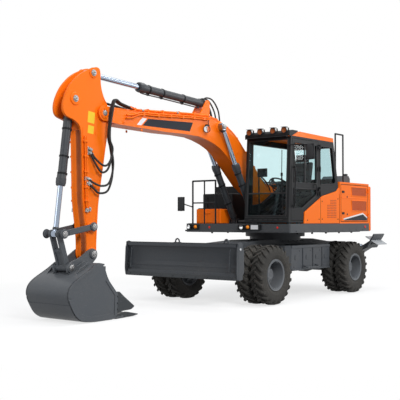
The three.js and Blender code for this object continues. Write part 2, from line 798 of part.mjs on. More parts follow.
function deck() {
  const plate = slabXY(
    [
      [deckFrontX, -upperHalf + 60],
      [deckFrontX, upperHalf - 20],
      [deckFrontX - 20, upperHalf],
      [counterweightX, upperHalf],
      [counterweightX, -upperHalf],
      [deckFrontX - 60, -upperHalf],
    ],
    deckLevel,
    deckTop,
  );
  const [ramX, ramZ] = boomCylinderFoot;
  const pocket = (y) => box(ramX - 110, ramX + 130, y - 93, y + 93, deckTop - 100, deckTop + 1);
  const earOutline = [
    [ramX - 90, deckTop - 101],
    [ramX + 110, deckTop - 101],
    [ramX + 60, ramZ + 30],
    [ramX - 10, ramZ + 62],
    [ramX - 60, ramZ + 20],
  ];
  const ears = ramY.map((y) => join(slabXZ(earOutline, y - 92, y - 72), slabXZ(earOutline, y + 72, y + 92)));
  const bore = move(hole(30, -500, 400, 'Y'), ramX, 0, ramZ);
  const [footX, footZ] = boomFoot;
  const tower = [
    [footX - 330, deckTop - 1],
    [footX + 420, deckTop - 1],
    [footX + 130, footZ + 30],
    ...arc(boomFoot, 110, 30, 160, 6),
    [footX - 150, footZ],
  ];
  const towers = join(
    slabXZ(tower, boomLine + boomHalf + RUN_GAP, boomLine + boomHalf + RUN_GAP + 34),
    slabXZ(tower, boomLine - boomHalf - RUN_GAP - 34, boomLine - boomHalf - RUN_GAP),
  );
  const pin = move(drum(boomPin, -boomHalf - 40, boomHalf + 40, 'Y', 16), footX, boomLine, footZ);
  return join(cut(join(cut(plate, pocket(ramY[0]), pocket(ramY[1])), ...ears), bore), towers, pin);
}

function tailPlan(radius) {
  const edge = (Math.atan2(upperHalf, -Math.sqrt(radius ** 2 - upperHalf ** 2)) * 180) / Math.PI;
  return [
    [counterweightX, upperHalf],
    ...arc([0, 0], radius, edge, 360 - edge, 16),
    [counterweightX, -upperHalf],
  ];
}

const hoodRear = counterweightX + 8;
const hoodTop = deckTop + hoodHeight;
const sideDoorLow = deckTop + 40;
const sideDoorHigh = hoodTop - 45;
const sideDoorRear = hoodRear + 46;
const sideDoorFront = hoodFrontX - 46;
const lidFront = -720;
const lidRear = hoodRear + 40;
const lidLeft = 860;
const lidRight = -1090;
const leafGap = 6;

function hood() {
  const shell = cut(
    box(hoodRear, hoodFrontX, -upperHalf, upperHalf, seatZ, hoodTop),
    box(
      hoodRear + panelWall,
      hoodFrontX - panelWall,
      -upperHalf + panelWall,
      upperHalf - panelWall,
      deckTop - 1,
      hoodTop - panelWall,
    ),
  );
  const doorway = (y0, y1) =>
    box(
      sideDoorRear - leafGap,
      sideDoorFront + leafGap,
      y0,
      y1,
      sideDoorLow - leafGap,
      sideDoorHigh + leafGap,
    );
  const hatch = box(
    lidRear - leafGap,
    lidFront + leafGap,
    lidRight - leafGap,
    lidLeft + leafGap,
    hoodTop - 60,
    hoodTop + 1,
  );
  return cut(shell, doorway(upperHalf - 60, upperHalf + 1), doorway(-upperHalf - 1, -upperHalf + 60), hatch);
}

const leafHinge = 12;
const leafHingeY = upperHalf + 17;
const leafHingeX = sideDoorRear - 3;

// Leaf with its own knuckles; the matching ones stay on the hood.
function sideLeaf(side) {
  const leaf = box(sideDoorRear, sideDoorFront, upperHalf - 25, upperHalf, sideDoorLow, sideDoorHigh);
  const knuckles = [sideDoorLow + 90, sideDoorHigh - 150].map((z) =>
    join(
      move(drum(leafHinge, z, z + 40, 'Z', 12), leafHingeX, leafHingeY, 0),
      box(leafHingeX, leafHingeX + 40, upperHalf - 1, leafHingeY + 8, z, z + 40),
    ));
  return mirrorY(join(leaf, ...knuckles), side);
}

function hoodKnuckles(side) {
  const made = [sideDoorLow + 90, sideDoorHigh - 150].map((z) =>
    join(
      move(drum(leafHinge, z + 40 + SEAT_GAP, z + 80, 'Z', 12), leafHingeX, leafHingeY, 0),
      box(leafHingeX - 40, leafHingeX, upperHalf - 1, leafHingeY + 8, z + 40 + SEAT_GAP, z + 80),
    ));
  return mirrorY(join(...made), side);
}

// Lid with the raised lamp housing, and its knuckles over the front edge.
const lidHinge = [lidFront + 3, hoodTop + 17];

function lid() {
  const leaf = box(lidRear, lidFront, lidRight, lidLeft, hoodTop - 25, hoodTop);
  const housing = slabXZ(
    [
      [-1700, hoodTop - 1],
      [-1240, hoodTop - 1],
      [-1300, hoodTop + 90],
      [-1420, hoodTop + 175],
      [-1640, hoodTop + 180],
      [-1700, hoodTop + 120],
    ],
    330,
    820,
  );
  const knuckles = [-800, 500].map((y) =>
    join(
      move(drum(leafHinge, y, y + 60, 'Y', 12), lidHinge[0], 0, lidHinge[1]),
      box(lidHinge[0] - 40, lidHinge[0], y, y + 60, hoodTop - 1, lidHinge[1] + 8),
    ));
  return join(leaf, housing, ...knuckles);
}

function lidSeats() {
  const made = [-800, 500].map((y) =>
    join(
      move(drum(leafHinge, y + 60 + SEAT_GAP, y + 120, 'Y', 12), lidHinge[0], 0, lidHinge[1]),
      box(lidHinge[0], lidHinge[0] + 40, y + 60 + SEAT_GAP, y + 120, hoodTop - 1, lidHinge[1] + 8),
    ));
  return join(...made);
}

// ---------------------------------------------------------------- cab
// Outline of the cab's side; the rear of it climbs over the panel beside the engine.
const roofSeat = deckTop + cabHeight;
const cabOutline = [
  [cabFrontX + 2, 1437],
  [cabFrontX - 92, roofSeat],
  [-253, roofSeat],
  [-262, 2973],
  [-446, 2134],
  [-353, 2058],
  [214, 1945],
  [898, 1632],
  [917, 1437],
];
const cabInside = [
  [cabFrontX - 55, 1437 + cabWall],
  [cabFrontX - 145, roofSeat + 1],
  [-196, roofSeat + 1],
  [-205, 2973],
  [-385, 2150],
  [-310, 2110],
  [230, 1998],
  [950, 1668],
  [972, 1437 + cabWall],
];
const doorOutline = [
  [1360, 1480],
  [1300, 2970],
  [360, 2970],
  [360, 1920],
  [900, 1660],
  [930, 1480],
];
const doorwayOutline = [
  [1368, 1472],
  [1308, 2978],
  [352, 2978],
  [352, 1915],
  [893, 1654],
  [922, 1472],
];
const doorPane = [
  [1285, 1700],
  [1243, 2900],
  [425, 2900],
  [425, 1966],
  [930, 1722],
  [965, 1700],
];
const quarterPane = [
  [285, 2160],
  [285, 2900],
  [-190, 2900],
  [-330, 2200],
];
const rightPane = [
  [1250, 1750],
  [1210, 2920],
  [-140, 2920],
  [-280, 2240],
  [250, 2120],
  [900, 1790],
];
const frontSlope = -0.0598;
const rearSlope = 0.2193;
const frontAt = (z) => cabFrontX + 2 + frontSlope * (z - 1437);
const rearAt = (z) => -446 + rearSlope * (z - 2134);
const screenSpan = [1560, 2950];
const rearSpan = [2300, 2900];
const screenY = [300, 1140];
const doorHinge = [345, cabLeft + 35];
const doorKnuckles = [2030, 2840];

// Outline grown or shrunk about its middle, for the rebate a pane stands in.
function inset(outline, by) {
  const middle = outline.reduce(([x, z], [u, v]) => [x + u / outline.length, z + v / outline.length], [0, 0]);
  return outline.map(([x, z]) => {
    const run = new THREE.Vector2(x - middle[0], z - middle[1]);
    run.setLength(run.length() - by);
    return [middle[0] + run.x, middle[1] + run.y];
  });
}

function leaning(edge, [low, high], near, far) {
  return [
    [edge(low) + near, low],
    [edge(low) + far, low],
    [edge(high) + far, high],
    [edge(high) + near, high],
  ];
}

function cabFrame() {
  const shell = cut(
    slabXZ(cabOutline, cabRight, cabLeft),
    slabXZ(cabInside, cabRight + cabWall, cabLeft - cabWall),
  );
  const openings = [
    slabXZ(doorwayOutline, cabLeft - 60, cabLeft + 1),
    slabXZ(quarterPane, cabLeft - 60, cabLeft + 1),
    slabXZ(rightPane, cabRight - 1, cabRight + 60),
    slabXZ(leaning(frontAt, screenSpan, -80, 20), ...screenY),
    slabXZ(leaning(rearAt, rearSpan, -20, 90), ...screenY),
  ];
  const feet = [
    [1000, cabRight + 20],
    [1330, cabRight + 20],
    [1000, cabLeft - 80],
    [1330, cabLeft - 80],
  ].map(([x, y]) => box(x, x + 60, y, y + 60, seatZ, 1440));
  const knuckles = doorKnuckles.map((z) =>
    join(
      move(drum(leafHinge, z + 40 + SEAT_GAP, z + 80, 'Z', 12), ...doorHinge, 0),
      box(doorHinge[0] - 40, doorHinge[0], cabLeft - 1, doorHinge[1] + 8, z + 40 + SEAT_GAP, z + 80),
    ));
  return join(cut(shell, ...openings), ...feet, ...knuckles);
}

function cabDoor() {
  const leaf = slabXZ(doorOutline, cabLeft - doorWall, cabLeft);
  const light = slabXZ(doorPane, cabLeft - doorWall - 1, cabLeft + 1);
  const belt = box(350, 1320, cabLeft - 20, cabLeft, 2070, 2160);
  const knuckles = doorKnuckles.map((z) =>
    join(
      move(drum(leafHinge, z, z + 40, 'Z', 12), ...doorHinge, 0),
      box(doorHinge[0], doorHinge[0] + 50, cabLeft + 2, doorHinge[1] + 8, z, z + 40),
      box(doorHinge[0] + 20, doorHinge[0] + 50, cabLeft - 1, cabLeft + 3, z, z + 40),
    ));
  const beltBar = cut(belt, box(340, 362, 1000, 1300, 2000, 2200), box(1300, 1330, 1000, 1300, 2000, 2200));
  return join(cut(leaf, light), beltBar, ...knuckles);
}

const pane = (outline, y) => slabXZ(inset(outline, GLASS_GAP * 1.5), y, y + glassThick);

function cabRoof() {
  const cap = slabXZ(
    [
      [cabFrontX - 80, roofSeat + SEAT_GAP],
      [cabFrontX - 90, roofSeat + 41],
      [1033, roofSeat + 97],
      [-247, roofSeat + 77],
      [-262, roofSeat + SEAT_GAP],
    ],
    cabRight + 12,
    cabLeft - 4,
  );
  // lamp bar across the front of the roof
  const lampBar = slabXZ(
    [
      [cabFrontX - 82, roofSeat - 14],
      [cabFrontX - 40, roofSeat - 10],
      [cabFrontX - 50, roofSeat + 40],
      [cabFrontX - 92, roofSeat + 50],
    ],
    cabRight + 20,
    cabLeft - 12,
  );
  return join(cap, lampBar);
}

function seat() {
  return slabXZ(
    [
      [235, 1996.3],
      [760, 1755.7],
      [790, 1900],
      [790, 2010],
      [330, 2040],
      [150, 2720],
      [60, 2720],
      [110, 2040],
    ],
    470,
    970,
  );
}

function consoleBody() {
  const foot = box(1090, 1210, 620, 820, 1437 + cabWall + SEAT_GAP, 1560);
  const column = bar([1150, 720, 1540], [1004, 720, 2144], 34);
  const wheel = turned(
    [[150, -12], [190, -12], [190, 12], [150, 12]],
    'Z',
    20,
  );
  const spokes = join(box(-160, 160, -14, 14, -8, 8), box(-14, 14, -160, 160, -8, 8));
  const hub = join(drum(40, -20, 30, 'Z', 12), spokes);
  return join(foot, column, move(join(wheel, hub).rotate([0, -14, 0]), 1005, 720, 2140));
}

// ---------------------------------------------------------------- bodywork and fittings
piece(upperDrawing, 'deck', deck(), DARK);
const tail = slabXY(tailPlan(tailRadius), deckLevel, deckLevel + counterweightHeight);
piece(upperDrawing, 'counterweight', move(tail, -SEAT_GAP, 0, 0), ORANGE);
piece(upperDrawing, 'engine_hood', join(hood(), hoodKnuckles(1), hoodKnuckles(-1), lidSeats()), ORANGE);
piece(upperDrawing, 'engine', box(-1600, -700, -850, 850, seatZ, deckTop + 640), BLACK);

const panelOutline = [
  [hoodFrontX + 6, seatZ],
  [912, seatZ],
  [893, 1628],
  [212, 1940],
  [-357, 2053],
  [-450, 2127],
  [hoodFrontX + 6, 2127],
];
piece(upperDrawing, 'side_panel_left', slabXZ(panelOutline, cabRight + 20, upperHalf), ORANGE);

for (const side of [1, -1]) {
  const hand = side > 0 ? 'left' : 'right';
  const leaf = jointAt(upperDrawing, `side_door_${hand}_hinge`, [leafHingeX, side * leafHingeY, sideDoorLow]);
  piece(leaf, `side_door_${hand}`, sideLeaf(side), ORANGE);
}
piece(jointAt(upperDrawing, 'lid_hinge', [lidHinge[0], 0, lidHinge[1]]), 'hood_lid', lid(), ORANGE);

piece(upperDrawing, 'tank', join(
  box(-200, 850, -1200, -450, seatZ, deckTop + 600),
  box(-200, 420, -1200, -450, deckTop + 599, deckTop + 760),
), BLACK);
piece(upperDrawing, 'toolbox', box(950, 1300, -1016, -420, seatZ, 1700), ORANGE);

piece(upperDrawing, 'cab_frame', cabFrame(), DARK);
piece(upperDrawing, 'cab_roof', cabRoof(), ORANGE);
const door = jointAt(upperDrawing, 'cab_door_hinge', [...doorHinge, 2000]);
piece(door, 'cab_door', cabDoor(), DARK);
piece(door, 'door_glass', pane(doorPane, cabLeft - doorWall + 8), GLASS);
const shrink = ([low, high]) => [low + GLASS_GAP, high - GLASS_GAP];
const clear = [screenY[0] + GLASS_GAP, screenY[1] - GLASS_GAP];
piece(upperDrawing, 'windshield', slabXZ(leaning(frontAt, shrink(screenSpan), -30, -24), ...clear), GLASS);
piece(upperDrawing, 'rear_glass', slabXZ(leaning(rearAt, shrink(rearSpan), 24, 30), ...clear), GLASS);
piece(upperDrawing, 'quarter_glass', pane(quarterPane, cabLeft - 34), GLASS);
piece(upperDrawing, 'right_glass', pane(rightPane, cabRight + 28), GLASS);
piece(upperDrawing, 'seat', seat(), BLACK);
piece(upperDrawing, 'console', consoleBody(), TRIM);

const railRadius = 17;
piece(upperDrawing, 'handrail_front', join(
  rail([[1380, -1040, seatZ], [1380, -1040, 2250], [1380, -480, 2250], [1380, -480, seatZ]], railRadius),
  rail([[1380, -1040, 1820], [1380, -480, 1820]], railRadius * 0.8),
  rail([[1380, -750, seatZ], [1380, -750, 2250]], railRadius * 0.8),
  rail([[1380, -1040, 1740], [1415, -1240, 1800]], railRadius * 0.7),
  box(1402, 1428, -1390, -1230, 1664, 1943),
), DARK);
piece(upperDrawing, 'handrail_rear', rail(
  [
    [-980, 1030, hoodTop + SEAT_GAP],
    [-980, 1030, 3230],
    [-650, 1030, 3230],
    [-650, 1030, hoodTop + SEAT_GAP],
  ],
  railRadius,
), DARK);
piece(upperDrawing, 'mirror_left', join(
  rail([[frontAt(2840) + SEAT_GAP + 0.7, 1160, 2840], [1430, 1160, 2840], [1430, 1640, 2820]], 11),
  box(1418, 1442, 1560, 1720, 2555, 2830),
), BLACK);

// ---------------------------------------------------------------- boom
const facing = (angle) => new THREE.Vector3(Math.cos(rad(angle)), 0, Math.sin(rad(angle)));
const boomPivot = [boomFoot[0], boomLine, boomFoot[1]];
const boom = frameAt(upperDrawing, 'boom_lift', boomPivot, facing(boomAngle), acrossY);
const boomUnderside = [
  [1100, 105],
  [1620, 330],
  [1860, 438],
  [2100, 500],
  [2310, 518],
  [2550, 510],
  [2770, 484],
  [3150, 385],
  [3610, 243],
  [4690, -46],
];
const boomBack = [
  [4760, 200],
  [4300, 330],
  [3900, 470],
  [3110, 750],
  [2660, 900],
  [2370, 955],
  [2100, 950],
  [1720, 900],
  [1270, 700],
  [600, 360],
];
const stretched = (points) => points.map(([u, v]) => [u * boomStretch, v]);
const boomOutline = [
  ...arc([0, 0], 140, 110, 290, 8),
  ...stretched(boomUnderside),
  ...arc([boomLength, 0], 120, 240, 410, 8),
  ...stretched(boomBack),
];
const armSlot = 300; // how far the fork reaches back from the arm's pivot

function boomBody() {
  const [ramU, ramV] = armCylinderFoot;
  const lug = [
    [ramU - 130, 880],
    [ramU + 190, 840],
    ...arc(armCylinderFoot, 62, 10, 170, 6),
  ];
  const pin = move(drum(38, -103, 103, 'Y', 16), ramU, 0, ramV);
  const tip = move(drum(boomPin, -boomHalf, boomHalf, 'Y', 16), boomLength, 0, 0);
  const slot = box(boomLength - armSlot, boomLength + 300, -armHalf - 10, armHalf + 10, -300, 400);
  const foot = hole(boomPin, -boomHalf - 1, boomHalf + 1, 'Y');
  return join(
    cut(slabXZ(boomOutline, -boomHalf, boomHalf), slot, foot),
    slabXZ(lug, -104, -80),
    slabXZ(lug, 80, 104),
    pin,
    tip,
  );
}

piece(boom, 'boom', boomBody(), ORANGE);

const chord = facing(boomAngle);
const rise = facing(boomAngle + 90);
const onBoom = ([u, v], y) =>
  new THREE.Vector3(boomFoot[0], y, boomFoot[1]).addScaledVector(chord, u).addScaledVector(rise, v);

const boomRam = {
  tube: 62,
  rod: 42,
  tubeLength: 1235,
  footEye: 70,
  eyeWidth: 100,
  pin: 0,
  rodEye: 68,
  rodEyeWidth: 100,
  least: 1552,
};
const ramSeat = [boomCylinderFoot[0], boomLine, boomCylinderFoot[1]];
const boomFrames = cylinderFrames(
  upperDrawing,
  'boom_ram',
  ramSeat,
  onBoom(boomCylinderEye, boomLine).toArray(),
  acrossY,
);
const footShaft = drum(30, -boomCylinderSpread - 92, boomCylinderSpread + 92, 'Y', 16);
piece(
  boomFrames.barrel,
  'boom_barrels',
  join(pairOf(barrelShape(boomRam), boomCylinderSpread), footShaft),
  DARK,
);
for (const side of [1, -1]) {
  const rod = move(rodShape(boomRam, boomFrames.reach), 0, side * boomCylinderSpread, 0);
  piece(boomFrames.rod, `boom_rod_${side > 0 ? 'left' : 'right'}`, rod, CHROME);
}

// ---------------------------------------------------------------- arm
// Along the arm from its pivot to the bucket pin, and ahead of it.
const along = (angle, [u, v]) => [
  u * Math.cos(rad(angle)) - v * Math.sin(rad(angle)),
  u * Math.sin(rad(angle)) + v * Math.cos(rad(angle)),
];
const arm = frameAt(boom, 'arm_turn', [boomLength, 0, 0], new THREE.Vector3(
  Math.cos(rad(armAngle - boomAngle)), 0, Math.sin(rad(armAngle - boomAngle)),
), acrossY);
// in the arm's frame Z points ahead, away from the machine
const armOutline = [
  [-678, 147],
  [-669, 244],
  [-493, 522],
  [-277, 704],
  [-41, 798],
  [111, 800],
  [200, 740],
  [220, 550],
  [300, 420],
  [725, 359],
  [1368, 275],
  [1900, 135],
  [2060, 112],
  ...arc([armLength, 0], 105, 90, -90, 8),
  [2000, -85],
  [1383, -60],
  [433, -130],
  [255, -150],
  [0, -125],
  [-160, -90],
  [-242, -1],
  [-414, 86],
  [-618, 108],
];
const slotHalf = 72;

function armBody() {
  const shape = slabXZ(armOutline, -armHalf, armHalf);
  const rodSlot = box(-900, -290, -slotHalf, slotHalf, -200, 1000);
  const ramSlot = box(-291, 330, -slotHalf, slotHalf, 425, 1000);
  const bore = (radius, [u, v]) => move(hole(radius, -armHalf - 1, armHalf + 1, 'Y'), u, 0, v);
  const ramPin = move(
    drum(35, -armHalf + 1, armHalf - 1, 'Y', 16),
    bucketCylinderFoot[0],
    0,
    bucketCylinderFoot[1],
  );
  const bores = join(bore(boomPin, [0, 0]), bore(35, [armLength, 0]), bore(32, linkPivot));
  const bored = cut(shape, rodSlot, ramSlot, bores);
  return join(bored, ramPin);
}

piece(arm, 'arm', armBody(), ORANGE);

const armRam = {
  tube: 70,
  rod: 45,
  tubeLength: 1740,
  footEye: 60,
  eyeWidth: 108,
  pin: 38,
  rodEye: 60,
  rodEyeWidth: 108,
  least: 2150,
};
const armEyeRun = along(armAngle - boomAngle, armCylinderEye);
const armEye = [boomLength + armEyeRun[0], 0, armEyeRun[1]];
const armRamFoot = [armCylinderFoot[0], 0, armCylinderFoot[1]];
const armFrames = cylinderFrames(boom, 'arm_ram', armRamFoot, armEye, acrossY);
piece(armFrames.barrel, 'arm_barrel', barrelShape(armRam), DARK);
piece(armFrames.rod, 'arm_rod', rodShape(armRam, armFrames.reach), CHROME);

// ---------------------------------------------------------------- bucket and its linkage, in the arm's frame
const intoArm = (run) => along(-armAngle, run);
const linkRun = intoArm([linkLength * Math.cos(rad(linkAngle)), linkLength * Math.sin(rad(linkAngle))]);
const linkEnd = [linkPivot[0] + linkRun[0], linkPivot[1] + linkRun[1]];
const pushRun = intoArm(bucketPin2);
const pushFoot = [armLength + pushRun[0], pushRun[1]];

const bucketRam = {
  tube: 60,
  rod: 40,
  tubeLength: 1285,
  footEye: 56,
  eyeWidth: 116,
  pin: 35,
  rodEye: 52,
  rodEyeWidth: 88,
  least: 1360,
};
const ramFoot = [bucketCylinderFoot[0], 0, bucketCylinderFoot[1]];
const bucketFrames = cylinderFrames(arm, 'bucket_ram', ramFoot, [linkEnd[0], 0, linkEnd[1]], acrossY);
piece(bucketFrames.barrel, 'bucket_barrel', barrelShape(bucketRam), DARK);
piece(bucketFrames.rod, 'bucket_rod', rodShape(bucketRam, bucketFrames.reach), CHROME);

// Flat link with round ends between two pins, in X and Z.
function strap(from, to, radius, near, far) {
  const run = new THREE.Vector2(to[0] - from[0], to[1] - from[1]).normalize();
  const half = radius * 0.72;
  const outline = [
    [from[0] - run.y * half, from[1] + run.x * half],
    [from[0] + run.y * half, from[1] - run.x * half],
    [to[0] + run.y * half, to[1] - run.x * half],
    [to[0] - run.y * half, to[1] + run.x * half],
  ];
  const end = ([u, v]) => move(drum(radius, near, far, 'Y'), u, 0, v);
  return join(slabXZ(outline, near, far), end(from), end(to));
}

const linkFoot = [linkPivot[0], 0, linkPivot[1]];
const links = frameAt(arm, 'side_links_turn', linkFoot, new THREE.Vector3(1, 0, 0), acrossY);
const sideLinks = join(
  bothSides((hand) => mirrorY(strap([0, 0], linkRun, 62, 166, 190), hand)),
  drum(32, -189, 189, 'Y', 16),
);
piece(links, 'side_links', sideLinks, STEEL);

// Bucket drawn from its pin, with X and Z as on the ground at rest.
const bucket = frameAt(arm, 'bucket_turn', [armLength, 0, 0], new THREE.Vector3(
  Math.cos(rad(-armAngle)), 0, Math.sin(rad(-armAngle)),
), acrossY);
const bucketPinAt = [5191, 972];
const onBucket = (outline) => outline.map(([x, z]) => [x - bucketPinAt[0], z - bucketPinAt[1]]);
const bucketOutline = onBucket([
  [5401, 865],
  [5251, 823],
  [5173, 604],
  [4966, 375],
  [4980, 36],
  [5044, 10],
  [5493, 6],
  [5778, 46],
  [5963, 348],
  [5964, 483],
  [5874, 596],
  [5497, 782],
]);
const bucketInside = onBucket([
  [5400, 838],
  [5262, 800],
  [5100, 700],
  [4800, 500],
  [4800, 60],
  [4985, 58],
  [5050, 32],
  [5488, 28],
  [5764, 66],
  [5940, 353],
  [5941, 476],
  [5860, 578],
  [5485, 762],
]);
const earOutline = onBucket([
  [5100, 930],
  [5120, 1030],
  [5210, 1064],
  [5290, 1030],
  [5450, 930],
  [5660, 858],
  [5712, 800],
  [5705, 690],
  [5640, 690],
  [5497, 770],
  [5401, 850],
  [5251, 810],
  [5170, 860],
]);
const toothOutline = onBucket([
  [4480, 36],
  [4700, 74],
  [5010, 60],
  [5010, 10],
  [4620, 9],
]);
const cutterOutline = onBucket([
  [5000, 400],
  [4914, 407],
  [4592, 162],
  [4670, 118],
  [5000, 110],
]);
const teeth = 5;

function bucketBody() {
  const half = bucketWidth / 2;
  const shell = cut(
    slabXZ(bucketOutline, -half, half),
    slabXZ(bucketInside, -half + bucketWall, half - bucketWall),
  );
  const ears = bothSides((hand) => mirrorY(slabXZ(earOutline, armHalf + 10, armHalf + 10 + earThick), hand));
  const pins = join(
    drum(35, -armHalf - 37, armHalf + 37, 'Y', 16),
    move(drum(32, -armHalf - 37, armHalf + 37, 'Y', 16), bucketPin2[0], 0, bucketPin2[1]),
  );
  const lip = slabXZ(onBucket([[4840, 14], [4840, 36], [5060, 44], [5060, 10]]), -half, half);
  const made = [];
  for (let k = 0; k < teeth; k += 1) {
    const y = -half + 60 + (k * (bucketWidth - 120)) / (teeth - 1);
    made.push(slabXZ(toothOutline, y - 36, y + 36));
  }
  const cutters = bothSides((hand) => mirrorY(slabXZ(cutterOutline, half - 26, half + 2), hand));
  return join(shell, ears, pins, lip, cutters, ...made);
}

piece(bucket, 'bucket', bucketBody(), STEEL);

const pushFootPlace = [bucketPin2[0], 0, bucketPin2[1]];
const pushPivot = frameAt(
  bucket,
  'push_link_turn',
  pushFootPlace,
  new THREE.Vector3(1, 0, 0),
  acrossY,
);
const pushTop = along(armAngle, [linkEnd[0] - pushFoot[0], linkEnd[1] - pushFoot[1]]);

function pushLink() {
  const legs = bothSides((hand) => mirrorY(strap([0, 0], pushTop, 58, 55, 95), hand));
  const sleeve = drum(58, -armHalf - 2, armHalf + 2, 'Y');
  const web = strap([0, 0], [pushTop[0] * 0.5, pushTop[1] * 0.5], 40, -60, 60);
  return cut(join(legs, sleeve, web), hole(32, -armHalf - 9, armHalf + 9, 'Y'));
}

piece(pushPivot, 'push_link', pushLink(), STEEL);

// ---------------------------------------------------------------- centred over the footprint
machine.name = 'wheeled_excavator';
machine.updateMatrixWorld(true);
const whole = new THREE.Box3().setFromObject(machine, true);
machine.position.set(-(whole.min.x + whole.max.x) / 2, -(whole.min.y + whole.max.y) / 2, -whole.min.z);
machine.updateMatrixWorld(true);

export default machine;
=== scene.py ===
import json
import math

import bmesh
import bpy
from mathutils import Matrix, Vector

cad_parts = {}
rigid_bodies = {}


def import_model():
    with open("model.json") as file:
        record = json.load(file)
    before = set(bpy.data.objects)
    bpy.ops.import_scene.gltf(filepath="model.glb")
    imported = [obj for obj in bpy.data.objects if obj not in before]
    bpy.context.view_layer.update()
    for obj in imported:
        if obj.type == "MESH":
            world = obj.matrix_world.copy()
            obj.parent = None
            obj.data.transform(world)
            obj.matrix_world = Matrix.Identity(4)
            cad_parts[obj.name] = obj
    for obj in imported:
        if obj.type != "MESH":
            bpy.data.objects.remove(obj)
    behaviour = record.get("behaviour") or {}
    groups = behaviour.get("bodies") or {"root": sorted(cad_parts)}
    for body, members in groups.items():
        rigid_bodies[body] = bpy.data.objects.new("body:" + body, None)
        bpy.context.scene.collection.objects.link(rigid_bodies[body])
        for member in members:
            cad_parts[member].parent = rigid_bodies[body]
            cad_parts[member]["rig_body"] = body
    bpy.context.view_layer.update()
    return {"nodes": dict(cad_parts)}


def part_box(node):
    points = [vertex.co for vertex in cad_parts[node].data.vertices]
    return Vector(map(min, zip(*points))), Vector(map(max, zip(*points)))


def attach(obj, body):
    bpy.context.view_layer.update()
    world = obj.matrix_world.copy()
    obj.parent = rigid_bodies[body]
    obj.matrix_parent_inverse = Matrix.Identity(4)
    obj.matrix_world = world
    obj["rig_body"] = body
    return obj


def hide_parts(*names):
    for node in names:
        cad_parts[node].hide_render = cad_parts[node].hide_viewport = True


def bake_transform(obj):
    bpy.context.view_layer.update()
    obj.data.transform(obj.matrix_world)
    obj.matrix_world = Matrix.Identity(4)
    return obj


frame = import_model()
nodes = frame["nodes"]

# ---------------------------------------------------------------- places on the machine
# Drawn coordinates count from the swing axis at ground level: X ahead, Y to the cab side, Z up, in metres.
FRONT_AXLE_X = 1.9
tyre_low, tyre_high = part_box("tyre_front_left")
right_tyre_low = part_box("tyre_front_right")[0]
OFFSET = Vector(((tyre_low.x + tyre_high.x) / 2 - FRONT_AXLE_X, (tyre_high.y + right_tyre_low.y) / 2, 0))
BOOM_LINE = -0.09
BOOM_ANGLE = math.radians(15.84)
ARM_ANGLE = math.radians(-84.0)
BOOM_LENGTH = 5.057
SIDES = (("left", 1), ("right", -1))


def at(x, y, z):
    return Vector((x, y, z)) + OFFSET


def frame_at(origin, ahead, side=(0, 1, 0)):
    """Matrix whose X runs ahead and whose Y runs to the side, about a point."""
    x = Vector(ahead).normalized()
    y = Vector(side)
    y = (y - x * y.dot(x)).normalized()
    place = Matrix((x, y, x.cross(y))).transposed().to_4x4()
    place.translation = origin
    return place


def heading(angle):
    return Vector((math.cos(angle), 0, math.sin(angle)))


def circle(count, shift=0.0):
    """Cosine and sine at even steps round a circle."""
    turns = [2 * math.pi * (k + shift) / count for k in range(count)]
    return [(math.cos(turn), math.sin(turn)) for turn in turns]


FREE = Matrix.Identity(4)
GROUND = Matrix.Translation(OFFSET)
BOOM = frame_at(at(0.1, BOOM_LINE, 1.74), heading(BOOM_ANGLE))
ARM = frame_at(BOOM @ Vector((BOOM_LENGTH, 0, 0)), heading(ARM_ANGLE))
SWING = "upper_structure"

# ---------------------------------------------------------------- nodes and materials
SOIL = (0.3, 0.27, 0.22, 1)


def feed(tree, target, inputs):
    """Gives each named input its value, or links it from an output."""
    for label, value in inputs.items():
        if isinstance(value, bpy.types.NodeSocket):
            tree.links.new(value, target.inputs[label])
        else:
            target.inputs[label].default_value = value
    return target


def node(tree, kind, inputs, **settings):
    made = tree.nodes.new(kind)
    for name, value in settings.items():
        setattr(made, name, value)
    return feed(tree, made, inputs)


def noise(tree, scale, detail=4.0, rough=0.55, stretch=None):
    source = tree.nodes.new("ShaderNodeTexCoord").outputs["Object"]
    if stretch:
        source = node(tree, "ShaderNodeMapping", {"Vector": source, "Scale": stretch}).outputs["Vector"]
    inputs = {"Vector": source, "Scale": scale, "Detail": detail, "Roughness": rough}
    return node(tree, "ShaderNodeTexNoise", inputs).outputs["Fac"]


def ramp(tree, source, low, high):
    inputs = {"Value": source, "From Min": low, "From Max": high}
    return node(tree, "ShaderNodeMapRange", inputs).outputs["Result"]


def combine(tree, kind, a, b):
    return node(tree, "ShaderNodeMath", {0: a, 1: b}, operation=kind).outputs[0]


def blend_colours(tree, factor, a, b):
    inputs = {"Factor": factor, "A": a, "B": b}
    return node(tree, "ShaderNodeMix", inputs, data_type="RGBA").outputs["Result"]


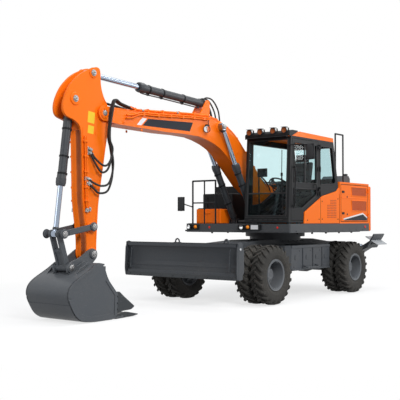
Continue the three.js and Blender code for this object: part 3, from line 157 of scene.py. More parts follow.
def weathering():
    """Even finish with slow tone changes, a film of dust and fine marks."""
    group = bpy.data.node_groups.new("weathered_finish", "ShaderNodeTree")
    for label, kind, value in (
        ("Paint", "Color", (0.5, 0.5, 0.5, 1)),
        ("Dust", "Color", SOIL),
        ("Dust Amount", "Float", 0.1),
        ("Tone", "Float", 0.1),
        ("Roughness", "Float", 0.4),
        ("Spread", "Float", 0.15),
    ):
        socket = group.interface.new_socket(label, in_out="INPUT", socket_type="NodeSocket" + kind)
        socket.default_value = value
    for label, kind in (("Color", "Color"), ("Roughness", "Float"), ("Height", "Float")):
        group.interface.new_socket(label, in_out="OUTPUT", socket_type="NodeSocket" + kind)
    enter = group.nodes.new("NodeGroupInput").outputs
    broad = ramp(group, noise(group, 1.7), 0.3, 0.7)
    fine = ramp(group, noise(group, 38.0, 6.0), 0.35, 0.7)
    speck = ramp(group, noise(group, 160.0, 3.0), 0.45, 0.75)
    dusty = combine(group, "MULTIPLY", combine(group, "MULTIPLY", broad, fine), enter["Dust Amount"])
    dark = node(group, "ShaderNodeHueSaturation", {"Color": enter["Paint"], "Value": 0.62}).outputs["Color"]
    toned = blend_colours(group, combine(group, "MULTIPLY", broad, enter["Tone"]), enter["Paint"], dark)
    uneven = combine(group, "MULTIPLY", combine(group, "ADD", fine, dusty), enter["Spread"])
    marks = combine(group, "MULTIPLY", fine, 0.6), combine(group, "MULTIPLY", speck, 0.4)
    results = {
        "Color": blend_colours(group, dusty, toned, enter["Dust"]),
        "Roughness": combine(group, "ADD", enter["Roughness"], uneven),
        "Height": combine(group, "ADD", *marks),
    }
    node(group, "NodeGroupOutput", results)
    return group


WEATHERED = weathering()


def finish(
    name,
    colour,
    roughness,
    metallic=0.0,
    dust=0.08,
    tone=0.12,
    spread=0.12,
    bump=0.0006,
    coat=0.0,
    shine=0.22,
    dust_colour=SOIL,
    extra=None,
):
    """Weathered material; extra adds a pattern to the colour and the relief."""
    material = bpy.data.materials.new(name)
    material.use_nodes = True
    material.diffuse_color = (*colour, 1)
    tree = material.node_tree
    values = {"Paint": (*colour, 1), "Dust": dust_colour, "Dust Amount": dust}
    values.update({"Tone": tone, "Roughness": roughness, "Spread": spread})
    worn = node(tree, "ShaderNodeGroup", {}, node_tree=WEATHERED)
    feed(tree, worn, values)
    tint, height = worn.outputs["Color"], worn.outputs["Height"]
    if extra:
        tint, height = extra(tree, tint, height)
    relief = node(tree, "ShaderNodeBump", {"Strength": 0.5, "Distance": bump, "Height": height})
    look = {
        "Base Color": tint,
        "Roughness": worn.outputs["Roughness"],
        "Metallic": metallic,
        "Coat Weight": coat,
        "Coat Roughness": 0.08,
        "Specular IOR Level": shine,
        "Normal": relief.outputs["Normal"],
    }
    feed(tree, tree.nodes["Principled BSDF"], look)
    return material


def scuffs(tree, colour, height):
    """Long bright scratches where soil has rubbed the steel."""
    marks = ramp(tree, noise(tree, 9.0, 8.0, 0.7, (1.0, 3.0, 9.0)), 0.62, 0.8)
    return blend_colours(tree, marks, colour, (0.28, 0.29, 0.3, 1)), combine(tree, "ADD", height, marks)


def moulded(tree, colour, height):
    return colour, combine(tree, "ADD", height, noise(tree, 420.0, 2.0))


def woven(tree, colour, height):
    source = tree.nodes.new("ShaderNodeTexCoord").outputs["Object"]
    waves = node(tree, "ShaderNodeTexWave", {"Vector": source, "Scale": 160.0, "Distortion": 1.5})
    return colour, combine(tree, "ADD", height, waves.outputs["Fac"])


ORANGE = finish(
    "orange_paint", (0.95, 0.17, 0.002), 0.42, dust=0.01, tone=0.06, coat=0.05, shine=0.15, bump=0.0003
)
# Orange paint darkened to about half: painted shade, used for the grille slots, the louvres and the tail's
# seams.
PAINTED_SHADE_ORANGE = finish("orange_with_painted_shade", (0.52, 0.085, 0.01), 0.5, dust=0.1)
DARK = finish("dark_grey_paint", (0.04, 0.045, 0.052), 0.42, dust=0.12, coat=0.1)
CHASSIS = finish("chassis_paint", (0.058, 0.065, 0.075), 0.45, dust=0.16, coat=0.05)
BLADE = finish("blade_paint", (0.048, 0.054, 0.062), 0.4, dust=0.1, coat=0.1)
LINK = finish("link_paint", (0.07, 0.078, 0.088), 0.42, dust=0.12)
BUCKET = finish("bucket_paint", (0.075, 0.083, 0.093), 0.4, dust=0.14, coat=0.1, extra=scuffs)
EDGE_STEEL = finish("worn_steel", (0.045, 0.05, 0.055), 0.45, metallic=0.3, extra=scuffs)
# Chrome darkened and tinted blue-grey: painted reflection of the surroundings the rods mirror; the rods still
# reflect the studio as well.
CHROME = finish(
    "chrome_rod", (0.3, 0.35, 0.43), 0.16, metallic=1.0, dust=0.0, tone=0.05, spread=0.05, bump=0.0001
)
FITTING = finish("plated_fitting", (0.3, 0.3, 0.3), 0.36, metallic=1.0, dust=0.05)
TYRE = finish(
    "tyre_rubber", (
        0.032, 0.031, 0.029
    ), 0.72, dust=0.55, tone=0.2, bump=0.0012, dust_colour=(0.13, 0.118, 0.1, 1)
)
RIM = finish("rim_paint", (0.13, 0.14, 0.152), 0.4, dust=0.15)
BLACK = finish("black_paint", (0.01, 0.011, 0.013), 0.42, dust=0.04, shine=0.12)
PLASTIC = finish("moulded_plastic", (0.02, 0.021, 0.023), 0.55, dust=0.06, extra=moulded)
HOSE = finish("hose_rubber", (0.014, 0.014, 0.015), 0.5, dust=0.1)
SEAT_CLOTH = finish("seat_cloth", (0.022, 0.023, 0.026), 0.9, dust=0.03, extra=woven)
CAB_TRIM = finish("cab_trim", (0.06, 0.063, 0.068), 0.6, extra=moulded)
DECAL_DARK = finish("dark_film", (0.016, 0.019, 0.026), 0.5, dust=0.02, shine=0.15)
DECAL_WHITE = finish("white_film", (0.8, 0.81, 0.82), 0.35, dust=0.04)
STICKER = finish("yellow_film", (0.85, 0.55, 0.02), 0.4, dust=0.04)
WHITE_PLATE = finish("white_plate", (0.75, 0.76, 0.77), 0.4)
# Light grey pad, much lighter than the dark steelwork round it.
LIGHT_GREY_PAD = finish("light_grey_pad", (0.42, 0.44, 0.46), 0.45, dust=0.25)
AMBER = finish("amber_lens", (0.95, 0.28, 0.01), 0.15, dust=0.02)
RED = finish("red_lens", (0.7, 0.02, 0.012), 0.15, dust=0.02)
SMOKED = finish("smoked_amber_lens", (0.3, 0.075, 0.012), 0.2, dust=0.04)
LAMP = finish("lamp_reflector", (0.82, 0.84, 0.86), 0.12, metallic=0.9, dust=0.02)
MIRROR = finish("mirror_face", (0.7, 0.74, 0.78), 0.04, metallic=1.0, dust=0.0)


def glass(name, colour):
    material = bpy.data.materials.new(name)
    material.use_nodes = True
    material.diffuse_color = (*colour, 0.3)
    look = {"Base Color": (*colour, 1), "Roughness": 0.02, "Transmission Weight": 1.0, "IOR": 1.1}
    feed(material.node_tree, material.node_tree.nodes["Principled BSDF"], look)
    return material


CLEAR = glass("cab_glass", (0.8, 0.93, 0.94))
TINTED = glass("tinted_glass", (0.55, 0.7, 0.72))

# ---------------------------------------------------------------- making meshes


class Shape:
    """A mesh being made, straight in the machine's frame."""

    def __init__(self, place=GROUND):
        self.mesh = bmesh.new()
        self.place = place

    def ring(self, points):
        """New corners, put in their place on the machine."""
        return [self.mesh.verts.new(self.place @ Vector(point)) for point in points]

    def loft(self, rings, closed=False, capped=False):
        """Faces from each ring of corners to the next; a ring may be one corner."""
        for low, high in zip(rings, rings[1:] + rings[:1] if closed else rings[1:]):
            count = max(len(low), len(high))
            for k in range(count):
                pair = (k, (k + 1) % count)
                corners = [low[i % len(low)] for i in pair] + [high[i % len(high)] for i in reversed(pair)]
                corners = list(dict.fromkeys(corners))
                if len(corners) > 2:
                    self.mesh.faces.new(corners)
        if capped:
            self.mesh.faces.new(rings[0])
            self.mesh.faces.new(rings[-1])

    def prism(self, outline, low, high, plane="XZ"):
        """A closed outline given depth along the axis it leaves out."""
        axis = {"YZ": 0, "XZ": 1, "XY": 2}[plane]
        near, far = [self.ring((*p[:axis], depth, *p[axis:]) for p in outline) for depth in sorted((low, high))]
        for corners in (near, far[::-1], *zip(near, far, far[1:] + far[:1], near[1:] + near[:1])):
            self.mesh.faces.new(corners)

    def block(self, x0, x1, y0, y1, z0, z1):
        self.prism([(x0, z0), (x1, z0), (x1, z1), (x0, z1)], y0, y1)

    def turned(self, profile, origin=(0, 0, 0), axis=(0, 1, 0), sides=32, closed=False):
        """A profile of (radius, along) turned about an axis."""
        along = Vector(axis).normalized()
        first = along.orthogonal().normalized()
        second = along.cross(first)
        rings = []
        for radius, run in profile:
            centre = Vector(origin) + along * run
            around = [centre + radius * (first * c + second * s) for c, s in circle(sides, 0.5)]
            rings.append(self.ring(around if radius > 1e-6 else [centre]))
        self.loft(rings, closed)

    def rod(self, start, end, radius, sides=16):
        run = Vector(end) - Vector(start)
        self.turned([(0, 0), (radius, 0), (radius, run.length), (0, run.length)], start, run, sides)

    def tube(self, points, radius, sides=12, smooth=True, steps=8):
        """A round tube through points, along a smooth curve or with rounded corners."""
        path = smooth_path(points, steps) if smooth else rounded_path(points, radius * 3.2)
        normal = (path[1] - path[0]).normalized().orthogonal().normalized()
        rings = []
        for k, point in enumerate(path):
            ahead = (path[min(k + 1, len(path) - 1)] - path[max(k - 1, 0)]).normalized()
            normal = (normal - ahead * normal.dot(ahead)).normalized()
            side = ahead.cross(normal)
            rings.append(self.ring(point + radius * (normal * c + side * s) for c, s in circle(sides)))
        self.loft(rings, capped=True)

    def add(self, mesh, place=FREE):
        """Copies another mesh in."""
        before = len(self.mesh.verts)
        self.mesh.from_mesh(mesh)
        self.mesh.verts.ensure_lookup_table()
        for corner in self.mesh.verts[before:]:
            corner.co = self.place @ (place @ corner.co)


def smooth_path(points, steps):
    spots = [Vector(p) for p in points]
    ends = [spots[0] * 2 - spots[1], *spots, spots[-1] * 2 - spots[-2]]
    path = []
    for a, b, c, d in zip(ends, ends[1:], ends[2:], ends[3:]):
        for k in range(steps):
            t = k / steps
            path.append(
                0.5 * (
                    2 * b + (c - a) * t + (2 * a - 5 * b + 4 * c - d) * t * t + (3 * b - a - 3 * c + d) * t**3
                )
            )
    return path + [spots[-1]]


def rounded_path(points, bend):
    spots = [Vector(p) for p in points]
    path = [spots[0]]
    for a, b, c in zip(spots, spots[1:], spots[2:]):
        near = min(bend, (a - b).length * 0.45, (c - b).length * 0.45)
        before = b + (a - b).normalized() * near
        after = b + (c - b).normalized() * near
        for k in range(7):
            t = k / 6
            path.append(before * (1 - t) ** 2 + b * 2 * t * (1 - t) + after * t * t)
    return path + [spots[-1]]


def shown(name, mesh):
    """A new object of the scene, at the origin."""
    item = bpy.data.objects.new(name, mesh)
    bpy.context.scene.collection.objects.link(item)
    return item


def evaluated_mesh(item):
    graph = bpy.context.evaluated_depsgraph_get()
    return bpy.data.meshes.new_from_object(item.evaluated_get(graph), depsgraph=graph)


def settle(name, mesh, material, bevel=0.0, sharp=32.0, segments=2):
    """A plain mesh object at the origin, with softened edges."""
    mesh.materials.clear()
    mesh.materials.append(material)
    item = shown(name, mesh)
    mesh.shade_smooth()
    mesh.set_sharp_from_angle(angle=math.radians(sharp))
    if bevel > 0:
        edges = item.modifiers.new("edges", "BEVEL")
        edges.width = bevel
        edges.segments = segments
        edges.limit_method = "ANGLE"
        edges.angle_limit = math.radians(sharp)
        edges.use_clamp_overlap = True
        edges.harden_normals = False
        item.modifiers.new("even", "WEIGHTED_NORMAL").keep_sharp = False
        baked = evaluated_mesh(item)
        item.modifiers.clear()
        item.data = baked
    return item


def written(shape, name):
    """The shape's mesh, with its faces turned outwards; the shape ends here."""
    mesh = bpy.data.meshes.new(name)
    bmesh.ops.recalc_face_normals(shape.mesh, faces=shape.mesh.faces)
    shape.mesh.to_mesh(mesh)
    shape.mesh.free()
    return mesh


def form(name, shape, material, bevel=0.0, sharp=32.0, segments=2):
    """Turns a shape into an object that doesn't ride on anything yet."""
    bmesh.ops.remove_doubles(shape.mesh, verts=shape.mesh.verts, dist=1e-6)
    return settle(name, written(shape, name), material, bevel, sharp, segments)


def make(name, shape, material, body, bevel=0.0, stands_for=(), sharp=32.0, segments=2):
    """Turns a shape into a finished piece that rides on a body."""
    item = form(name, shape, material, bevel, sharp, segments)
    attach(item, body)
    if stands_for:
        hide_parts(*stands_for)
    return item


def soften(node_name, material, bevel, segments=2):
    """The node's own solid with its edges rounded."""
    work = bmesh.new()
    work.from_mesh(nodes[node_name].data)
    bmesh.ops.remove_doubles(work, verts=work.verts, dist=2e-5)
    flat = math.radians(1.0)
    bmesh.ops.dissolve_limit(work, angle_limit=flat, verts=work.verts, edges=work.edges, delimit={"NORMAL"})
    mesh = bpy.data.meshes.new(node_name + "_panels")
    work.to_mesh(mesh)
    work.free()
    item = settle(node_name + "_body", mesh, material, bevel, 34.0, segments)
    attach(item, nodes[node_name]["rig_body"])
    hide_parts(node_name)


# ---------------------------------------------------------------- repeated pieces, by Geometry Nodes


def repeat_tree(round_about):
    tree = bpy.data.node_groups.new("ring_of_pieces" if round_about else "row_of_pieces", "GeometryNodeTree")
    for label, kind in (
        ("Geometry", "Geometry"), ("Count", "Int"), ("Step", "Vector"), ("Finish", "Material")
    ):
        tree.interface.new_socket(label, in_out="INPUT", socket_type="NodeSocket" + kind)
    tree.interface.new_socket("Geometry", in_out="OUTPUT", socket_type="NodeSocketGeometry")
    enter = tree.nodes.new("NodeGroupInput").outputs
    index = tree.nodes.new("GeometryNodeInputIndex").outputs["Index"]
    points = node(tree, "GeometryNodePoints", {"Count": enter["Count"]}).outputs["Points"]
    step = node(tree, "ShaderNodeVectorMath", {}, operation="SCALE")
    feed(tree, step, {0: enter["Step"], "Scale": index})
    step = step.outputs["Vector"]
    if round_about:
        turn = node(tree, "FunctionNodeEulerToRotation", {"Euler": step}).outputs["Rotation"]
        places = {"Points": points, "Rotation": turn}
    else:
        shift = node(tree, "GeometryNodeSetPosition", {"Geometry": points, "Offset": step})
        places = {"Points": shift.outputs["Geometry"]}
    spread = node(tree, "GeometryNodeInstanceOnPoints", {**places, "Instance": enter["Geometry"]})
    real = node(tree, "GeometryNodeRealizeInstances", {"Geometry": spread.outputs["Instances"]})
    paint = node(
        tree, "GeometryNodeSetMaterial", {"Geometry": real.outputs["Geometry"], "Material": enter["Finish"]}
    )
    node(tree, "NodeGroupOutput", {"Geometry": paint.outputs["Geometry"]})
    return tree


RING = repeat_tree(True)
ROW = repeat_tree(False)


def repeated(shape, count, step, material, tree=ROW):
    """The mesh of a shape set out count times: turned by step each time in a ring, moved by it in a row."""
    item = shown("seed", written(shape, "seed"))
    spread = item.modifiers.new("spread", "NODES")
    spread.node_group = tree
    names = {s.name: s.identifier for s in tree.interface.items_tree if s.in_out == "INPUT"}
    for label, value in (("Count", count), ("Step", step), ("Finish", material)):
        spread[names[label]] = value
    result = evaluated_mesh(item)
    bpy.data.objects.remove(item)
    return result

# ---------------------------------------------------------------- steelwork with rounded edges
SOFTENED = (
    (CHASSIS, 0.008, "chassis"),
    (CHASSIS, 0.006, "rear_axle front_axle"),
    (CHROME, 0.002, "steering_rod"),
    (BLADE, 0.006, "blade_arms blade_links"),
    (DARK, 0.003, "blade_barrels"),
    (CHROME, 0.002, "blade_rods"),
    (BLADE, 0.005, "dozer_blade"),
    (DARK, 0.008, "deck"),
    (BLACK, 0.01, "engine"),
    (ORANGE, 0.008, "side_door_left side_door_right"),
    (DARK, 0.012, "hood_lid"),
    (ORANGE, 0.012, "side_panel_left"),
    (BLACK, 0.02, "tank"),
    (ORANGE, 0.015, "toolbox"),
    (BLACK, 0.012, "cab_frame"),
    (ORANGE, 0.02, "cab_roof"),
    (BLACK, 0.006, "cab_door mirror_left"),
    (CAB_TRIM, 0.01, "console"),
    (BLACK, 0.003, "handrail_front handrail_rear"),
    (DARK, 0.003, "boom_barrels arm_barrel bucket_barrel stabiliser_barrel_left stabiliser_barrel_right"),
    (
        CHROME, 0.003,
        "boom_rod_left boom_rod_right arm_rod bucket_rod stabiliser_rod_left stabiliser_rod_right"
    ),
    (LINK, 0.006, "side_links push_link"),
    (CHASSIS, 0.004, "knuckle_left knuckle_right"),
    (CHASSIS, 0.006, "stabiliser_leg_left stabiliser_leg_right"),
)
for paint, bevel, names in SOFTENED:
    for node_name in names.split():
        soften(node_name, paint, bevel)
soften("counterweight", ORANGE, 0.03, segments=3)
soften("engine_hood", ORANGE, 0.02, segments=3)

# ---------------------------------------------------------------- wheels
TYRE_RADIUS = tyre_high.z / 2 + tyre_low.z / 2
TREAD_DEPTH = 0.03
TYRE_HALF = 0.131
TWIN_HALF = 0.154
BEAD = 0.258
LUGS = 22
CROWN = TYRE_RADIUS - TREAD_DEPTH


def crown_drop(across):
    """How far the tread falls away from its middle towards a shoulder."""
    share = abs(across) / TYRE_HALF
    return 0.026 * share**3


def carcass_profile():
    """Section of one tyre as (radius, across), from the outer bead over the tread to the inner one."""
    half = [
        (BEAD, 0.088),
        (BEAD + 0.014, 0.094),
        (BEAD + 0.026, 0.103),
        (BEAD + 0.034, 0.101),
        (BEAD + 0.05, 0.112),
        (BEAD + 0.085, 0.1235),
        (BEAD + 0.092, 0.1265),
        (BEAD + 0.1, 0.1245),
        (BEAD + 0.13, 0.1285),
        (BEAD + 0.165, 0.1275),
        (CROWN - 0.042, 0.1225),
        (CROWN - 0.026, 0.115),
    ]
    tread = [(CROWN - crown_drop(y), y) for y in (0.1, 0.07, 0.035, 0.0, -0.035, -0.07, -0.1)]
    return half + tread + [(r, -y) for r, y in reversed(half)]


def add_lug(shape, hand, phase):
    """One slanting tread bar from past the middle to a shoulder, with its end running down the side."""
    sections = []
    for across, lag in (
        (-0.012, 0.0), (0.02, 0.018), (0.05, 0.045), (0.08, 0.075), (0.105, 0.1), (0.124, 0.112)
    ):
        half = 0.023 + 0.009 * max(across, 0)
        top = TYRE_RADIUS - crown_drop(across) * 0.75
        low = CROWN - crown_drop(across) - 0.012
        corners = ((low, half * 1.35), (top, half), (top, -half), (low, -half * 1.35))
        sections.append([(radius, across, lag + run) for radius, run in corners])
    low, high = CROWN - 0.075, CROWN - 0.04
    foot = ((low, 0.024), (high, 0.023), (high, -0.023), (low, -0.024))
    sections.append([(radius, 0.1295, 0.116 + run) for radius, run in foot])
    rings = []
    for section in sections:
        turned = [(radius, hand * y, phase + run / TYRE_RADIUS) for radius, y, run in section]
        rings.append(
            shape.ring((radius * math.sin(turn), y, radius * math.cos(turn)) for radius, y, turn in turned)
        )
    shape.loft(rings, capped=True)


def tyre_mesh():
    """One tyre about its own centre: carcass, bars of tread and the ribs on the sides."""
    pitch = 2 * math.pi / LUGS
    seed = Shape(FREE)
    add_lug(seed, 1, 0.0)
    add_lug(seed, -1, pitch / 2)
    lugs = repeated(seed, LUGS, (0, pitch, 0), TYRE, RING)
    body = Shape(FREE)
    body.turned(carcass_profile(), sides=96, closed=True)
    body.add(lugs)
    return body


def hub_cover(shape, out):
    """Stepped planetary hub with its ring of bolts and filler plugs, out along Y from the wheel's centre."""
    shape.turned(
        [
            (0.0, 0.06),
            (0.126, 0.06),
            (0.129, 0.066),
            (0.129, 0.078),
            (0.12, 0.082),
            (0.116, 0.12),
            (0.11, 0.126),
            (0.11, 0.132),
            (0.096, 0.143),
            (0.06, 0.1465),
            (0.054, 0.143),
            (0.026, 0.143),
            (0.024, 0.149),
            (0.0, 0.149),
        ],
        sides=64,
    )
    for c, s in circle(12):
        spot = (0.1185 * c, 0.07, 0.1185 * s)
        shape.turned([(0, 0), (0.0075, 0), (0.0075, 0.016), (0.006, 0.019), (0, 0.019)], spot, (0, 1, 0), 6)
    for c, s in circle(3, 0.25):
        spot = (0.074 * c, 0.14, 0.074 * s)
        shape.turned([(0, 0), (0.011, 0), (0.011, 0.008), (0.009, 0.01), (0, 0.01)], spot, (0, 1, 0), 6)


def rim_shape(place):
    """Both rims of a wheel with flanges, lock ring, disc, nuts, hub and valve; its outside faces +Y."""
    shape = Shape(place)
    outer = TWIN_HALF + 0.1
    barrel = [
        (0.277, outer - 0.008),
        (0.277, outer + 0.008),
        (0.272, outer + 0.012),
        (0.262, outer + 0.006),
        (0.25, outer + 0.004),
        (0.247, outer + 0.01),
        (0.24, outer + 0.008),
        (0.236, outer - 0.004),
        (0.236, outer - 0.06),
        (0.231, outer - 0.075),
        (0.231, 0.06),
        (0.222, 0.036),
        (0.2, 0.026),
        (0.15, 0.022),
        (0.13, 0.03),
        (0.122, 0.075),
        (0.116, 0.075),
        (0.116, -0.1),
        (0.22, -0.1),
        (0.238, -0.13),
        (0.238, -outer + 0.01),
        (0.262, -outer - 0.006),
        (0.277, -outer - 0.008),
        (0.277, -outer + 0.008),
        (0.253, -outer + 0.004),
        (0.253, outer - 0.002),
    ]
    shape.turned(barrel, sides=96, closed=True)
    hub_cover(shape, outer)
    for c, s in circle(10, 0.5):
        spot = (0.165 * c, 0.018, 0.165 * s)
        shape.turned(
            [(0, 0), (0.019, 0), (0.019, 0.008), (0.0145, 0.008), (0.0145, 0.026), (0, 0.026)], spot,
            (0, 1, 0), 6
        )
        shape.rod(spot, (spot[0], 0.056, spot[2]), 0.008, 8)
    shape.tube([(0, 0.24, 0.234), (0, 0.265, 0.23), (0, 0.29, 0.214)], 0.004, 8)
    return shape


def build_wheels():
    single = written(tyre_mesh(), "single_tyre")
    for end, lead in (("front", 0.31), ("rear", 0.05)):
        for side, hand in SIDES:
            label = end + "_" + side
            hub = sum(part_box("tyre_" + label), Vector()) / 2
            hub.z = TYRE_RADIUS
            pair = Shape(Matrix.Translation(hub))
            for k, away in enumerate((-TWIN_HALF, TWIN_HALF)):
                spin = Matrix.Rotation(0.07 + 0.19 * k + lead, 4, "Y")
                pair.add(single, Matrix.Translation((0, away, 0)) @ spin)
            body = "wheel_" + label + "_body"
            make("tyres_" + label, pair, TYRE, body, 0.004, ("tyre_" + label,), 38.0, 1)
            facing = Matrix.Translation(hub) @ Matrix.Rotation(0 if hand > 0 else math.pi, 4, "Z")
            make("rims_" + label, rim_shape(facing), RIM, body, 0.0012, ("rim_" + label,), 30.0, 1)
    bpy.data.meshes.remove(single)


build_wheels()

# ---------------------------------------------------------------- boom and its plumbing
BOOM_HALF = 0.165
ARM_HALF = 0.12


def bolt(shape, spot, out, radius=0.012, height=0.009):
    """Hexagon head on its washer, standing out from a face."""
    shape.turned([(0, 0), (radius * 1.35, 0), (radius * 1.35, 0.002), (0, 0.002)], spot, out, 20)
    start = Vector(spot) + Vector(out).normalized() * 0.002
    shape.turned(
        [(0, 0), (radius, 0), (radius, height * 0.8), (radius * 0.85, height), (0, height)], start, out, 6
    )


def pin_head(name, place, spot, side, radius, body, plate=0.0):
    """End of a pin with its keeper plate and grease nipple, on the side face."""
    shape = Shape(place)
    out = (0, side, 0)
    shape.turned(
        [
            (0, 0), (radius * 1.5, 0), (radius * 1.5, 0.008), (radius * 1.08, 0.01), (radius * 1.05, 0.02),
            (radius * 0.9, 0.026), (0, 0.026)
        ],
        spot,
        out,
        40,
    )
    make(name, shape, FITTING if plate == 0 else LINK, body, 0.001, segments=1)
    grease = Shape(place)
    start = Vector(spot) + Vector(out) * 0.026
    grease.turned(
        [(0, 0), (0.008, 0), (0.008, 0.006), (0.005, 0.01), (0.005, 0.016), (0, 0.018)], start, out, 12
    )
    make(name + "_greaser", grease, FITTING, body)


# Top edge of the boom, from its foot to its tip, along and above the chord.
BOOM_TOP = [
    (0.62, 0.372),
    (1.27, 0.7),
    (1.72, 0.9),
    (2.1, 0.95),
    (2.37, 0.955),
    (2.66, 0.9),
    (3.11, 0.75),
    (3.9, 0.47),
    (4.3, 0.33),
    (4.76, 0.2),
]


def above_boom(u):
    """Height of the boom's top edge at a distance along it."""
    for (u0, v0), (u1, v1) in zip(BOOM_TOP, BOOM_TOP[1:]):
        if u0 <= u <= u1:
            return v0 + (v1 - v0) * (u - u0) / (u1 - u0)
    return BOOM_TOP[0][1] if u < BOOM_TOP[0][0] else BOOM_TOP[-1][1]


def boom_pipes():
    """Steel oil lines along the boom's back and left side, with their clamps."""
    pipes = Shape(BOOM)
    lanes = (-0.125, -0.085, 0.045, 0.085, 0.125)
    for k, y in enumerate(lanes):
        lift = 0.03 + 0.012 * (k % 2)
        run = [(u, y, above_boom(u) + lift) for u in (0.75, 1.27, 1.72, 2.1, 2.38)]
        pipes.tube([(0.66, y, above_boom(0.66) + lift)] + run, 0.014, 12, True, 5)
        ahead = [(u, y, above_boom(u) + lift) for u in (2.84, 3.11, 3.5, 3.9, 4.3)]
        pipes.tube(ahead + [(4.52, y, above_boom(4.52) + 0.06)], 0.014, 12, True, 5)
        bridge_y = y if abs(y) > 0.11 else math.copysign(0.135, y)
        bridge = [(u, across, above_boom(u) + lift) for u, across in ((2.38, y), (2.6, bridge_y), (2.84, y))]
        pipes.tube(bridge, 0.014, 12, True, 6)
    # two lines laid on the left side plate
    for k, drop in enumerate((0.024, 0.056)):
        side_run = [(u, BOOM_HALF + 0.022, above_boom(u) - drop) for u in (2.62, 2.8, 3.15, 3.6, 4.0, 4.3)]
        root = [(2.46, 0.14, above_boom(2.46) + 0.03), (2.54, BOOM_HALF + 0.01, above_boom(2.54) + 0.01)]
        end = [(4.5, BOOM_HALF + 0.03, 0.19 - 0.05 * k), (4.62, BOOM_HALF + 0.03, 0.14 - 0.05 * k)]
        pipes.tube(root + side_run + end, 0.0125, 12, True, 5)
    make("boom_oil_lines", pipes, ORANGE, "boom_body", sharp=60)

    clamps = Shape(BOOM)
    for u in (0.9, 1.25, 1.6, 1.95, 2.3, 2.95, 3.35, 3.75, 4.1, 4.4):
        top = above_boom(u)
        for y in (-0.105, 0.065, 0.125):
            half = 0.0375 if y != 0.125 else 0.02
            clamps.block(u - 0.015, u + 0.015, y - half, y + half, top, top + 0.055)
            clamps.turned([(0, 0), (0.006, 0), (0.006, 0.006), (0, 0.006)], (u, y, top + 0.055), (0, 0, 1), 6)
    for u in (2.72, 3.0, 3.3, 3.6, 3.9, 4.25):
        v = above_boom(u) - 0.04
        clamps.block(u - 0.016, u + 0.016, BOOM_HALF, BOOM_HALF + 0.038, v - 0.034, v + 0.034)
    make("boom_line_clamps", clamps, ORANGE, "boom_body", 0.002, segments=1)

    unions = Shape(BOOM)
    for k, y in enumerate(lanes):
        lift = 0.03 + 0.012 * (k % 2)
        for u in (1.1 + 0.05 * k, 2.5, 3.2 + 0.04 * k, 4.2):
            v0 = above_boom(u) + lift
            v1 = above_boom(u + 0.05) + lift
            unions.turned([(0, 0), (0.019, 0), (0.019, 0.05), (0, 0.05)], (u, y, v0), (0.05, 0, v1 - v0), 6)
    make("boom_line_unions", unions, FITTING, "boom_body", 0.001, segments=1)


def boom_film():
    """Dark slanted panel with a white leading stroke on both sides, left blank."""
    dark = [(3.02, 0.48), (4.2, 0.13), (4.1, 0.285), (2.98, 0.66)]
    light = [(4.23, 0.121), (4.33, 0.092), (4.235, 0.248), (4.13, 0.277)]
    for label, hand in SIDES:
        for kind, outline, film in (("dark", dark, DECAL_DARK), ("light", light, DECAL_WHITE)):
            panel = Shape(BOOM)
            panel.prism(outline, hand * BOOM_HALF, hand * (BOOM_HALF + 0.0012))
            make("boom_" + kind + "_film_" + label, panel, film, "boom_body")


def work_lamp(name, place, spot, aim, body, size, deep, lens=LAMP):
    """Round lamp: shell with its rim, and the reflector or lens in it."""
    aim = Vector(aim).normalized()
    spot = Vector(spot)
    shell = Shape(place)
    shell.turned(
        [
            (0, -deep),
            (size * 0.45, -deep),
            (size * 0.8, -deep * 0.6),
            (size * 0.95, -deep * 0.15),
            (size * 1.06, 0.0),
            (size * 1.06, 0.012),
            (size * 0.94, 0.014),
            (size * 0.92, -0.004),
            (0, -0.004),
        ],
        spot,
        aim,
        40,
    )
    make(name + "_shell", shell, PLASTIC, body, 0.001, segments=1)
    dish = Shape(place)
    dish.turned(
        [
            (0, -0.003), (size * 0.2, -0.003), (size * 0.5, 0.001), (size * 0.9, 0.01),
            (size * 0.86, -0.0035), (0, -0.0038)
        ],
        spot, aim, 40
    )
    make(name + "_dish", dish, lens, body)


